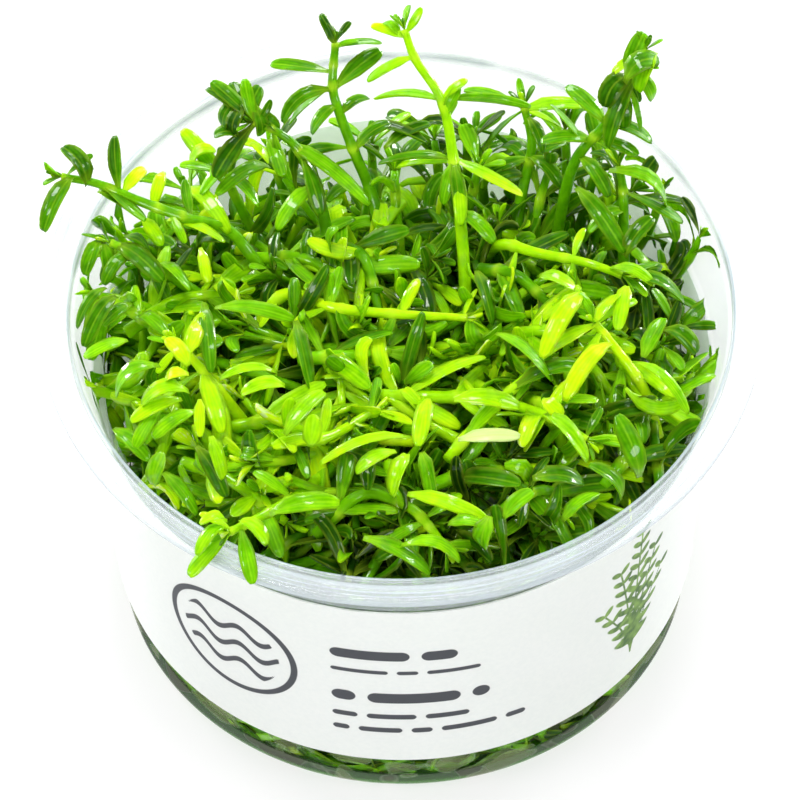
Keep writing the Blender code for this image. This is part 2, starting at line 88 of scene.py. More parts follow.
# Each stem has its root, then the points of its route, and its leaves: the place along the stem from 0 to 1,
# the heading and rise in degrees, and the length. tone runs from 0, dark green, to 1, yellow.
STEMS = {
    "stem_centre_tall": {
        "root": (9, 4),
        "tone": 0.62,
        "route": [(8.5, 11, 62), (7.5, 18.5, 69), (6, 24, 75), (2.5, 28, 79), (1, 31, 82)],
        "leaves": [
            (1.0, 40, 50, 4.5), (0.97, 155, 0, 5.5), (0.90, 195, -25, 7.5), (0.72, 15, 40, 5),
            (0.72, 165, -15, 10), (0.50, 165, -25, 9), (0.51, 335, -15, 11), (0.49, 275, -20, 9),
        ],
    },
    "stem_centre_left": {
        "root": (-2, 14),
        "tone": 0.37,
        "route": [(-4, 18.5, 62), (-6, 21, 67), (-8, 24, 72), (-9, 27, 75), (-8.5, 30.5, 80)],
        "leaves": [
            (1.0, 125, 45, 5), (0.98, 0, 20, 3.5), (0.86, 165, -5, 9), (0.78, 40, 10, 9),
            (0.80, 195, -45, 9), (0.50, 170, -20, 8),
        ],
    },
    "stem_curled_tip": {
        "root": (-10, 9),
        "tone": 0.35,
        "route": [(-10.5, 15, 61), (-13.5, 20, 68.5), (-17, 21.5, 72), (-20, 21.5, 74)],
        "leaves": [
            (1.0, 140, 20, 8.5), (1.0, 110, 50, 6.5), (1.0, 215, -45, 10), (0.97, 45, 50, 4),
            (0.88, 300, -55, 8), (0.68, 290, -30, 9),
        ],
    },
    "stem_left_reach": {
        "root": (-18, 9),
        "tone": 0.42,
        "route": [(-23.5, 13, 60.5), (-29, 12.5, 64), (-36, 13.5, 67), (-41.5, 15, 69), (-46.5, 15.5, 70)],
        "leaves": [
            (1.0, 240, -30, 8), (1.0, 30, 25, 5), (1.0, 170, 15, 2.8), (0.76, 95, 40, 8),
            (0.84, 325, -20, 8), (0.55, 300, -25, 5), (0.45, 100, 20, 6),
        ],
    },
    "stem_right_reach": {
        "root": (21, 15),
        "tone": 0.36,
        "route": [(24, 20.5, 64), (28.5, 22.5, 71), (32, 25, 77), (34, 27.5, 81)],
        "leaves": [
            (1.0, 70, 55, 2.8), (0.94, 330, 20, 3.4), (0.90, 285, -50, 4), (0.84, 235, -50, 8),
            (0.55, 135, 25, 7.5), (0.58, 340, -5, 7), (0.70, 85, 35, 5.5),
        ],
    },
    "stem_right_low": {
        "root": (31, 9),
        "tone": 0.40,
        "route": [(31, 14, 57), (31, 17, 62), (30.5, 19.5, 65.5)],
        "leaves": [(0.80, 335, -15, 9.5), (1.0, 120, 10, 4.5), (0.40, 325, -35, 8)],
    },
    "stem_back": {
        "root": (16, 18),
        "tone": 0.38,
        "route": [(17, 22, 56), (18.5, 26, 62), (17.5, 29, 67)],
        "leaves": [
            (1.0, 100, 25, 4.5), (0.98, 165, 10, 9), (1.0, 5, -5, 9), (0.62, 190, -15, 6),
            (0.62, 20, 10, 5.5),
        ],
    },
    "stem_left_high": {
        "root": (-25, 5),
        "tone": 0.46,
        "route": [(-30, 6.5, 57), (-36, 9, 60.5), (-40, 10.5, 61.5)],
        "leaves": [
            (1.0, 165, 10, 4.5), (0.94, 240, -35, 5.5), (0.66, 300, -35, 6.5), (0.45, 60, 5, 5.5),
        ],
    },
    "stem_left_low": {
        "root": (-30, -2),
        "tone": 0.48,
        "route": [(-34.5, 0, 56.5), (-38.5, 1.5, 59), (-42, 2.5, 60.5)],
        "leaves": [(1.0, 255, -30, 6.5), (0.85, 250, -25, 9), (0.62, 205, -25, 6), (0.5, 100, 15, 5)],
    },
    "stem_across": {
        "root": (-21, 0),
        "tone": 0.74,
        "route": [(-16, 3, 59), (-9, -1, 61), (0, -3, 62), (9, -3, 61)],
        "leaves": [
            (1.0, 330, -25, 6), (0.99, 60, 25, 4.5), (0.72, 240, -30, 5.5), (0.45, 200, -10, 5.5),
            (0.45, 75, 20, 6), (0.2, 235, -20, 5), (0.74, 60, 25, 5.5),
        ],
    },
    "stem_right_across": {
        "root": (11, 14),
        "tone": 0.66,
        "route": [(14, 11.5, 58.5), (19, 8, 61), (25.5, 5.5, 62), (30.5, 4, 61)],
        "leaves": [
            (1.0, 25, -10, 6), (1.0, 325, -20, 5), (0.74, 70, 15, 5), (0.74, 260, -15, 6),
            (0.42, 255, -20, 5.5),
        ],
    },
    "stem_right_bright": {
        "root": (35, -16),
        "tone": 0.78,
        "route": [(33, -12.5, 57), (29.5, -9, 61), (26.5, -6.5, 64)],
        "leaves": [
            (1.0, 205, -20, 9.5), (0.93, 240, -20, 11), (1.0, 120, 25, 5), (1.0, 35, 0, 7),
            (0.45, 20, -15, 7), (0.25, 335, -20, 6),
        ],
    },
    "stem_left_bright": {
        "root": (-21, -15),
        "tone": 0.78,
        "route": [(-24.5, -13.5, 58), (-28, -11, 62), (-30.5, -9, 64)],
        "leaves": [
            (1.0, 225, -25, 5), (0.94, 60, 15, 6), (0.70, 285, -10, 10), (0.50, 275, -15, 12),
            (0.70, 215, -20, 9.5), (1.0, 155, -10, 5),
        ],
    },
    "stem_front_overhang": {
        "root": (-10, -23),
        "tone": 0.62,
        "route": [(-14, -29.5, 57), (-19, -36, 61), (-23.5, -39.5, 62.2)],
        "leaves": [
            (1.0, 220, -25, 8.5), (0.92, 280, -8, 9), (0.70, 20, -5, 9), (1.0, 155, 15, 5),
            (0.45, 150, 20, 6.5),
        ],
    },
    "stem_front": {
        "root": (-2, -24),
        "tone": 0.58,
        "route": [(-1, -30, 56.5), (2, -34, 58), (5.5, -38, 56)],
        "leaves": [(1.0, 10, -20, 6), (0.75, 200, -20, 6.5), (0.72, 35, 5, 6.5), (0.35, 165, 10, 6)],
    },
    "stem_front_right": {
        "root": (22, -27),
        "tone": 0.42,
        "route": [(19, -29.5, 57), (14.5, -32.5, 58.5), (12, -35, 57.5)],
        "leaves": [(1.0, 290, -30, 5), (0.62, 60, 15, 6), (0.3, 50, 15, 6), (0.62, 255, -15, 5)],
    },
    "stem_mid_right": {
        "root": (10, -12),
        "tone": 0.66,
        "route": [(15, -16, 58.5), (20.5, -20, 60.5), (25, -23, 59.5)],
        "leaves": [(1.0, 5, -20, 6.5), (1.0, 60, 20, 5), (0.66, 235, -20, 6), (0.66, 55, 10, 6.5), (0.35, 60, 20, 6)],
    },
    "stem_mid_left": {
        "root": (-21, -20),
        "tone": 0.7,
        "route": [(-16, -22, 58.5), (-10, -22.5, 60.5), (-4, -19, 61.5)],
        "leaves": [(1.0, 350, -15, 6), (1.0, 80, 0, 6), (0.6, 195, 5, 7), (0.6, 80, 15, 6), (0.4, 290, -10, 6)],
    },
}

# Single leaves that can be followed by eye, by the stem they grow on, or on the tangle: the base and the tip, how
# far the middle is lifted as a share of the length, the width and the tone. Below zero the middle sags.
PLACED_LEAVES = {
    "stem_left_reach": (
        ((-41.5, 14.5, 68), (-35.5, 11, 66), 0.12, 2.6, 0.30),
        ((-43, 14.8, 69), (-46.3, 19.0, 72.3), 0.40, 3.0, 0.26),
        ((-38, 14.5, 67.5), (-35, 19, 67), 0.15, 2.0, 0.84),
        ((-35.5, 13.5, 63), (-33, 10.5, 60.5), 0.15, 2.2, 0.80),
        ((-32.5, 20, 65), (-34, 15, 64), 0.20, 2.0, 0.86),
        ((-30, 20, 61), (-23.5, 12, 61), 0.30, 2.6, 0.72),
        ((-20.5, 26, 62), (-27.5, 16.5, 64), 0.15, 2.6, 0.55),
        ((-18, 23, 62), (-25.5, 16.5, 64), 0.20, 2.3, 0.50),
        ((-32, 14, 62), (-24, 9, 63), 0.15, 2.4, 0.80),
        ((-45, 15.5, 70), (-49, 8.6, 66.5), 0.22, 2.9, 0.36),
    ),
    "stem_left_high": (
        ((-27.5, 7.5, 64), (-26.5, 3.5, 61), 0.10, 1.9, 0.87),
        ((-37, 9, 61), (-41, 5, 59), 0.30, 2.2, 0.40),
        ((-38.9, 10.1, 61.5), (-32.6, 3.9, 61), 0.15, 3.1, 0.32),
        ((-41, 10.8, 61.3), (-40, 5.9, 58.5), 0.20, 2.7, 0.42),
        ((-41.5, 11, 61.4), (-43.5, 6.3, 59.5), 0.20, 2.5, 0.40),
        ((-38, 11.5, 61.5), (-34.5, 9.5, 60.5), 0.40, 2.6, 0.28),
        ((-33, 8, 60), (-29, 3, 60), 0.20, 2.4, 0.62),
    ),
    "stem_curled_tip": (
        ((-20.5, 22, 73), (-26.5, 27.5, 74), 0.20, 2.4, 0.30),
        ((-22, 25, 75), (-24, 22.5, 71), 0.40, 2.4, 0.28),
        ((-21.5, 21, 71), (-25.5, 21.5, 71), 0.35, 2.2, 0.30),
        ((-21, 23, 73), (-16.5, 21.5, 72), 0.30, 2.4, 0.35),
        ((-21, 23, 73), (-23, 27, 76), 0.15, 2.6, 0.25),
        ((-20.5, 23, 73), (-19, 27, 75), 0.25, 2.4, 0.30),
        ((-21, 24, 75), (-22.5, 21.5, 71), 0.50, 2.8, 0.22),
        ((-20, 24, 75), (-19, 21.5, 71), 0.45, 2.4, 0.32),
        ((-20.5, 21, 70), (-18, 19, 68), 0.20, 2.0, 0.86),
        ((-18, 21.5, 70), (-16, 16.5, 68), 0.15, 2.3, 0.50),
        ((-16, 22, 69), (-4, 13.5, 65), 0.12, 2.7, 0.50),
        ((-12, 17, 65), (-17, 11, 63), 0.20, 2.4, 0.52),
    ),
    "stem_centre_left": (
        ((-9, 26.5, 74.5), (-16, 23.5, 71), 0.35, 2.2, 0.35),
        ((-8.5, 25, 73), (-12, 21.5, 71), 0.25, 2.2, 0.40),
        ((-8, 30.5, 79), (-2, 31, 79), 0.12, 1.5, 0.40),
        ((-6, 21, 68), (-1, 25, 69), 0.20, 2.2, 0.36),
        ((-8, 24, 72), (-4, 27, 72), 0.25, 2.0, 0.30),
    ),
    "stem_centre_tall": (
        ((0.5, 30.5, 81), (-2, 33, 81), 0.30, 1.6, 0.55),
        ((6.5, 22.5, 73.5), (8.5, 25, 77), 0.10, 1.8, 0.50),
        ((6, 24, 75), (18.5, 25, 72), 0.10, 1.6, 0.45),
        ((7.5, 18, 69), (6, 13.5, 65), 0.12, 2.2, 0.50),
        ((7.5, 18, 69), (8.5, 10.5, 64), 0.15, 2.4, 0.42),
        ((7, 18.5, 69), (-3, 18.5, 68), 0.12, 2.2, 0.40),
        ((-3.5, 25.5, 68), (4, 22, 68), 0.12, 2.5, 0.22),
        ((-2, 22, 67), (4.5, 25.5, 68), 0.15, 2.2, 0.26),
        ((8, 13, 64), (13, 9, 62), 0.20, 2.4, 0.56),
    ),
    "stem_back": (
        ((17.5, 24, 58), (12.5, 22, 59), 0.20, 2.4, 0.30),
        ((18, 25, 61), (22.5, 21, 59), 0.25, 2.4, 0.34),
        ((18, 28, 66), (20, 24, 63), 0.30, 2.0, 0.30),
    ),
    "stem_right_reach": (
        ((31.5, 24.5, 79.5), (34, 29.5, 82.5), 0.12, 3.0, 0.42),
        ((31.2, 23.5, 79), (36, 26.5, 80), 0.45, 3.4, 0.40),
        ((35.5, 27.5, 80.5), (33, 23, 77.5), 0.30, 3.0, 0.66),
        ((33.5, 26.5, 79.5), (29.5, 25, 79), 0.30, 1.6, 0.84),
        ((32, 25.5, 78), (28.4, 22, 75.5), 0.40, 3.4, 0.26),
        ((32.5, 25, 78), (28.8, 19.2, 70), 0.15, 3.0, 0.38),
        ((32, 24, 77), (33.4, 20.5, 72), 0.10, 1.2, 0.46),
        ((33, 25.5, 78), (35, 23.5, 75), 0.25, 2.4, 0.50),
        ((28.5, 22.5, 71.5), (23.2, 27.5, 73.5), 0.08, 3.0, 0.40),
        ((29, 22.5, 71), (35, 20.8, 69), 0.18, 2.9, 0.34),
        ((31.5, 24.5, 76), (31, 21.5, 71.5), 0.30, 2.6, 0.30),
        ((25, 21, 66), (29, 16, 63), 0.20, 2.5, 0.40),
        ((27, 22, 68), (19.5, 22, 68), 0.15, 2.8, 0.46),
    ),
    "stem_right_low": (
        ((24.5, 18.5, 62), (31, 8, 60.5), 0.12, 2.9, 0.30),
        ((29, 18.7, 65.5), (37, 16, 60.5), 0.38, 2.6, 0.52),
        ((31, 16, 60), (26, 12, 60), 0.25, 2.4, 0.44),
    ),
    "stem_right_across": (
        ((19, 2.5, 63), (24, 0, 63), 0.20, 3.0, 0.72),
        ((10.5, 3.5, 63), (12.5, -4.5, 61), 0.20, 2.6, 0.24),
        ((29, 4.5, 62), (35, 2, 61), 0.25, 2.2, 0.62),
    ),
    "stem_right_bright": (
        ((25, -2, 65), (19, -12.5, 64), 0.20, 3.0, 0.84),
        ((28.5, -10, 64), (22, -18.5, 62), 0.25, 2.8, 0.86),
        ((31, -1, 65), (29.5, -8, 64), 0.20, 2.4, 0.80),
        ((26.5, -7, 65), (30, -3, 66), 0.15, 2.4, 0.84),
    ),
    "stem_mid_right": (
        ((13, -8, 64), (20.5, -14.5, 61.5), 0.20, 2.8, 0.60),
        ((19, -19.5, 64), (21.5, -21.5, 62.5), 0.20, 2.4, 0.84),
        ((19.5, -21, 63), (25, -28, 61), 0.20, 3.0, 0.60),
        ((7, -20, 65), (16, -20, 63), 0.15, 2.7, 0.76),
    ),
    "stem_left_bright": (
        ((-27, -2, 64), (-26, -13.5, 63), 0.12, 2.4, 0.44),
        ((-26, -25.5, 65), (-24.5, -30, 61), 0.10, 2.3, 0.78),
        ((-27.5, -20, 66), (-27.5, -25, 64), 0.15, 1.8, 0.84),
        ((-29, -16.5, 67), (-32.5, -17, 65.5), 0.35, 2.6, 0.86),
        ((-29, -15, 67), (-32, -11, 68), 0.20, 2.6, 0.86),
        ((-29, -13, 67), (-27.5, -8, 67), 0.15, 2.7, 0.86),
        ((-29, -18, 65), (-35.5, -19.5, 64), 0.40, 2.8, 0.72),
        ((-30, -18.5, 64), (-37, -21.5, 63), 0.15, 2.4, 0.77),
        ((-28, -20.5, 64), (-34, -23.5, 62), 0.15, 2.5, 0.60),
    ),
    "stem_left_low": (
        ((-39, 0, 63), (-43.5, -8, 62), 0.25, 2.6, 0.30),
        ((-40.5, 1.5, 63), (-44.5, -4, 61), 0.30, 2.0, 0.34),
        ((-37, -0.5, 62), (-41, -3.5, 61), 0.15, 2.2, 0.40),
        ((-33, -13.5, 65), (-39, -16.5, 62), 0.45, 2.7, 0.50),
        ((-37.5, -7.5, 63), (-43.5, -10.5, 63), 0.12, 2.6, 0.60),
        ((-36, 0.5, 58), (-32, -4, 59), 0.20, 2.4, 0.50),
    ),
    "stem_across": (
        ((-25.5, -3, 64), (-14.5, -4.5, 63), 0.12, 2.6, 0.52),
        ((-14.5, -5, 63.5), (-12.5, -15, 61), 0.12, 2.4, 0.40),
        ((-17, -13.5, 63), (-25, -14.5, 63), 0.25, 1.6, 0.70),
        ((-16, -16.5, 64), (-22, -18, 64), 0.25, 2.4, 0.72),
    ),
    "stem_mid_left": (
        ((-16, -24, 63), (-10.5, -17.5, 64), 0.15, 2.6, 0.60),
        ((-12.5, -26, 63), (-12, -23.5, 67), 0.05, 2.9, 0.78),
        ((1, -25.5, 64), (-11.5, -28.5, 62), 0.20, 1.8, 0.76),
        ((3.5, -19, 64), (2, -27.5, 64.5), 0.15, 2.9, 0.80),
    ),
    "stem_front_overhang": (
        ((-24, -39.5, 63), (-28, -44, 63), 0.40, 2.2, 0.60),
        ((-22, -38.5, 63.5), (-18.5, -42.5, 63), 0.25, 3.0, 0.66),
        ((-24, -39, 64), (-27.5, -41, 66), 0.30, 2.4, 0.70),
        ((-18, -38, 64), (-8.5, -37, 65), 0.15, 2.9, 0.60),
    ),
    "stem_front": (
        ((-1, -28.5, 65), (-6.5, -30.5, 63), 0.20, 3.1, 0.75),
        ((0.5, -29, 65), (-1.5, -34, 62), 0.25, 3.2, 0.72),
        ((2.5, -28, 64), (4, -34, 61), 0.20, 2.4, 0.50),
        ((0.5, -33.5, 62), (11.5, -37.5, 61), 0.10, 2.4, 0.72),
        ((-5.5, -40, 61), (3.5, -43, 56.5), 0.15, 3.0, 0.50),
        ((-0.5, -41, 60.5), (7.5, -42, 58), 0.35, 2.4, 0.62),
    ),
    "stem_front_right": (
        ((7.5, -26, 64), (16, -25.5, 64), 0.08, 2.1, 1.30),
        ((6, -38.5, 62), (11, -39, 62), 0.20, 3.2, 0.56),
        ((11.5, -38.5, 63.5), (10.5, -41, 60), 0.40, 3.2, 0.50),
        ((13.5, -38, 62.5), (17.5, -35.5, 65), 0.15, 2.9, 0.56),
        ((17.5, -30.5, 61), (24.5, -30, 59), 0.20, 3.2, 0.34),
    ),
    "tangle": (
        ((31, 8, 60), (35, 12.5, 63), 0.20, 2.8, 0.28),
        ((32, 4, 60), (39, 0.5, 59), 0.30, 3.0, 0.28),
        ((36, -4, 59), (40.5, -7.5, 58), 0.30, 3.2, 0.30),
        ((33, -11, 62), (36, -5, 63), 0.12, 2.7, 0.48),
        ((30.5, -15.5, 61), (38.5, -18, 61), -0.35, 2.3, 0.70),
        ((31.5, -12.5, 63), (39, -19.5, 60), 0.30, 1.9, 0.62),
        ((32, -27.5, 57), (29, -22, 64), 0.20, 3.3, 0.42),
        ((29.5, -31, 57), (25, -29, 62), 0.25, 3.0, 0.42),
        ((21.5, -36, 59), (26.5, -33, 61), 0.20, 2.8, 0.55),
        ((-33, -19.5, 63), (-36.5, -24.5, 61), 0.15, 2.2, 0.60),
        ((-39.5, -18.5, 57.5), (-34.5, -24.5, 58), 0.12, 2.6, 0.50),
        ((-34, -27, 56), (-32.5, -25.5, 61.5), 0.10, 2.8, 0.70),
        ((-32.5, -27.5, 59.5), (-28, -33, 57), 0.15, 3.0, 0.45),
        ((-28, -25, 62), (-24, -31.5, 59), 0.15, 2.6, 0.28),
    ),
}

# The youngest pairs of leaves at the end of a shoot: length, and spread in degrees
TIP_BUD = ((3.4, 40), (2.6, 26), (1.6, 12))
SHOOT_BUD = ((6.8, 55), (3.8, 34), (2.0, 14))

# Brighter and darker places in the tangle: place, size and change of tone
TONE_PLACES = (
    (-27, -12, 10, 0.20), (24, -3, 8, 0.17), (-22, -30, 9, 0.12), (-36, 4, 8, 0.08), (0, -15, 7, -0.20),
    (30, -24, 11, -0.25), (30, 15, 9, -0.12), (8, 13, 9, -0.14), (10, -32, 10, -0.14), (38, 0, 9, -0.10),
)

# Shoots that rise from the tangle at the back and the left: root, heading, rise, length and tone
RISING_SHOOTS = (
    (-1, 22, 110, 62, 17, 0.40), (4, 27, 80, 70, 17, 0.36), (12, 24, 100, 66, 18, 0.34),
    (24, 22, 60, 60, 16, 0.36), (29, 19, 30, 55, 15, 0.38), (-14, 24, 120, 62, 16, 0.42),
    (-22, 21, 150, 55, 16, 0.46), (-28, 14, 160, 45, 15, 0.50), (34, 12, 20, 50, 13, 0.42),
    (7, 18, 60, 58, 15, 0.40), (-8, 17, 140, 50, 16, 0.46), (19, 14, 80, 52, 16, 0.40),
    (-33, 4, 170, 35, 13, 0.56), (-35, -6, 190, 30, 12, 0.58), (16, 30, 70, 66, 14, 0.32),
    (21, 25, 75, 62, 19, 0.34), (26, 16, 40, 60, 16, 0.38), (10, 29, 95, 70, 17, 0.30),
    (-18, 17, 135, 58, 17, 0.46), (-30, 9, 150, 48, 15, 0.50), (0, 14, 95, 60, 14, 0.44),
)

# Long stems that lie over the top: the places each passes, with its height above the tangle, and its tone
RUNNERS = (
    (((11, 9, 3.0), (16, 6, 4.5), (21, 1, 2.5)), 0.34),
    (((29, -5, 3.5), (33, -13, 5.0), (38, -12, 6.0), (40, -7, 4.5)), 0.66),
    (((-3, -15, 2.0), (7, -15.5, 4.0), (16, -12, 2.5)), 0.62),
    (((17, -13, 3.0), (20, -18, 4.5), (24, -26, 2.0)), 0.64),
    (((-23, -16, 2.5), (-16, -19, 4.5), (-9, -23, 1.5)), 0.66),
    (((-9, 14, 4.0), (-5, 8, 5.0), (-3, 1, 2.0)), 0.36),
    (((-38, 1, 4.0), (-31, 4, 5.0), (-23, 5, 2.5)), 0.58),
    (((-30, -22, 2.0), (-24, -26, 4.5), (-16, -31, 2.5)), 0.58),
    (((4, -28, 2.0), (12, -27, 4.5), (21, -31, 3.0)), 0.44),
    (((-14, -8, 2.5), (-7, -9, 4.5), (1, -6, 2.0)), 0.50),
    (((27, -27, 3.0), (32, -20, 5.0), (34, -11, 2.5)), 0.36),
    (((-20, 12, 3.0), (-13, 10, 5.0), (-6, 4, 2.5)), 0.48),
    (((-12, -33, 2.0), (-5, -30, 4.5), (3, -33, 3.0)), 0.42),
    (((14, -3, 3.0), (22, -6, 5.0), (29, -12, 3.0)), 0.60),
)

# Layers under the top: depth, reach, number of shoots and tone, darker with depth as painted shade
DEEP_LAYERS = ((7.0, 38.0, 110, 0.38), (14.0, 38.0, 80, 0.28), (24.0, 38.0, 34, 0.22))
WALL_SHOOTS = 60
PRESSED_LEAVES = 190
ROOTLETS = 30
CORE_FOOT = 2.0
CORE_TOP = 40.0
CORE_RADIUS = 35.5

# The photograph's camera, worked out from the rim, step, label and base edges
CAMERA_ELEVATION = math.radians(52.80)
CAMERA_DISTANCE = 1237.7 * MM
CAMERA_YAW = math.radians(0.015)
CAMERA_PITCH = math.radians(-0.60)
CAMERA_ROLL = math.radians(-0.82)
CAMERA_LENS = 405.0


def add_camera():
    data = bpy.data.cameras.new("camera")
    data.lens = CAMERA_LENS
    data.sensor_width = 36.0
    data.clip_start = 0.05
    data.clip_end = 20.0
    camera = bpy.data.objects.new("camera", data)
    bpy.context.scene.collection.objects.link(camera)
    away = Vector((0, -math.cos(CAMERA_ELEVATION), math.sin(CAMERA_ELEVATION)))
    turn = Matrix.Rotation(math.pi / 2 - CAMERA_ELEVATION, 4, "X")
    turn = turn @ Matrix.Rotation(CAMERA_YAW, 4, "Y") @ Matrix.Rotation(CAMERA_PITCH, 4, "X")
    turn = turn @ Matrix.Rotation(CAMERA_ROLL, 4, "Z")
    rim_centre = Vector((0, 0, CUP_HEIGHT * MM))
    camera.matrix_world = Matrix.Translation(rim_centre + away * CAMERA_DISTANCE) @ turn
    bpy.context.scene.camera = camera


def area_light(name, place, size, power, target=(0, 0, 0.05), colour=(1, 1, 1)):
    data = bpy.data.lights.new(name, "AREA")
    data.size = size
    data.energy = power
    data.color = colour
    light = bpy.data.objects.new(name, data)
    bpy.context.scene.collection.objects.link(light)
    light.location = place
    light.rotation_euler = (Vector(target) - Vector(place)).to_track_quat("-Z", "Y").to_euler()


def add_studio():
    world = bpy.data.worlds.new("studio")
    bpy.context.scene.world = world
    world.use_nodes = True
    world.node_tree.nodes["Background"].inputs["Color"].default_value = (1, 1, 1, 1)
    world.node_tree.nodes["Background"].inputs["Strength"].default_value = 0.31
    area_light("overhead", (-0.04, 0.05, 0.85), 0.40, 5.6)
    area_light("left", (-0.6, -0.25, 0.5), 0.25, 1.7)
    area_light("right", (0.62, -0.25, 0.5), 0.25, 1.35)
    area_light("rear", (0.1, 0.6, 0.45), 0.30, 2.2)
    area_light("behind_left", (-0.48, 0.42, 0.10), 0.30, 5.2)
    area_light("behind_right", (0.48, 0.42, 0.10), 0.30, 5.2)
    area_light("front", (0.0, -0.7, 0.30), 0.35, 2.2)
    bpy.ops.mesh.primitive_plane_add(size=6.0, location=(0, 0, -0.0002))
    floor = bpy.context.object
    floor.name = "floor"
    white = plain_material("floor_white", (0.22, 0.22, 0.22), 0.8)
    white.node_tree.nodes["Principled BSDF"].inputs["Emission Color"].default_value = (1, 1, 1, 1)
    white.node_tree.nodes["Principled BSDF"].inputs["Emission Strength"].default_value = 0.72
    floor.data.materials.append(white)
    bpy.context.scene.view_settings.view_transform = "Standard"


def new_material(name):
    material = bpy.data.materials.new(name)
    material.use_nodes = True
    return material, material.node_tree, material.node_tree.nodes["Principled BSDF"]


def plain_material(name, colour, roughness):
    material, _, shader = new_material(name)
    shader.inputs["Base Color"].default_value = (*colour, 1)
    shader.inputs["Roughness"].default_value = roughness
    return material


class Nodes:
    """Short calls for building a node tree."""

    def __init__(self, tree):
        self.tree = tree

    def add(self, kind, **settings):
        node = self.tree.nodes.new(kind)
        for name, value in settings.items():
            setattr(node, name, value)
        return node

    def link(self, source, target):
        self.tree.links.new(source, target)

    def put(self, socket, value):
        if hasattr(value, "is_output"):
            self.link(value, socket)
        else:
            socket.default_value = value

    def math(self, operation, a, b=0.0, c=0.0, clamp=False):
        node = self.add("ShaderNodeMath", operation=operation, use_clamp=clamp)
        for socket, value in zip(node.inputs, (a, b, c)):
            self.put(socket, value)
        return node.outputs[0]

    def length(self, a, b):
        return self.math("SQRT", self.math("ADD", self.math("MULTIPLY", a, a), self.math("MULTIPLY", b, b)))

    def near(self, value, place, reach):
        """1 where the value is at the place, falling to 0 at the reach."""
        away = self.math("ABSOLUTE", self.math("SUBTRACT", value, place))
        return self.math("SUBTRACT", 1.0, self.math("DIVIDE", away, reach), clamp=True)

    def attribute(self, name):
        return self.add("ShaderNodeAttribute", attribute_name=name).outputs["Fac"]

    def ramp(self, value, stops, interpolation="LINEAR"):
        node = self.add("ShaderNodeValToRGB")
        node.color_ramp.interpolation = interpolation
        node.color_ramp.elements[0].position = stops[0][0]
        node.color_ramp.elements[0].color = (*stops[0][1], 1)
        node.color_ramp.elements[1].position = stops[-1][0]
        node.color_ramp.elements[1].color = (*stops[-1][1], 1)
        for place, colour in stops[1:-1]:
            node.color_ramp.elements.new(place).color = (*colour, 1)
        self.put(node.inputs["Fac"], value)
        return node.outputs["Color"]

    def mix(self, share, a, b, blend="MIX"):
        node = self.add("ShaderNodeMix", data_type="RGBA", blend_type=blend)
        self.put(node.inputs[0], share)
        self.put(node.inputs[6], a)
        self.put(node.inputs[7], b)
        return node.outputs[2]

    def noise(self, scale, detail=3.0, stretch=None):
        node = self.add("ShaderNodeTexNoise")
        node.inputs["Scale"].default_value = scale
        node.inputs["Detail"].default_value = detail
        place = self.add("ShaderNodeTexCoord").outputs["Object"]
        if stretch:
            mapping = self.add("ShaderNodeMapping")
            mapping.inputs["Scale"].default_value = stretch
            self.link(place, mapping.inputs["Vector"])
            place = mapping.outputs["Vector"]
        self.link(place, node.inputs["Vector"])
        return node.outputs["Fac"]

    def bump(self, height, strength, distance):
        node = self.add("ShaderNodeBump")
        node.inputs["Strength"].default_value = strength
        node.inputs["Distance"].default_value = distance
        self.link(height, node.inputs["Height"])
        return node.outputs["Normal"]


LEAF_STOPS = (
    (0.00, (0.005, 0.030, 0.001)),
    (0.20, (0.019, 0.102, 0.0005)),
    (0.40, (0.072, 0.282, 0.0005)),
    (0.58, (0.185, 0.540, 0.001)),
    (0.76, (0.400, 0.780, 0.002)),
    (0.90, (0.620, 0.900, 0.004)),
    (0.98, (0.700, 0.900, 0.010)),
    (1.00, (0.740, 0.880, 0.360)),
)


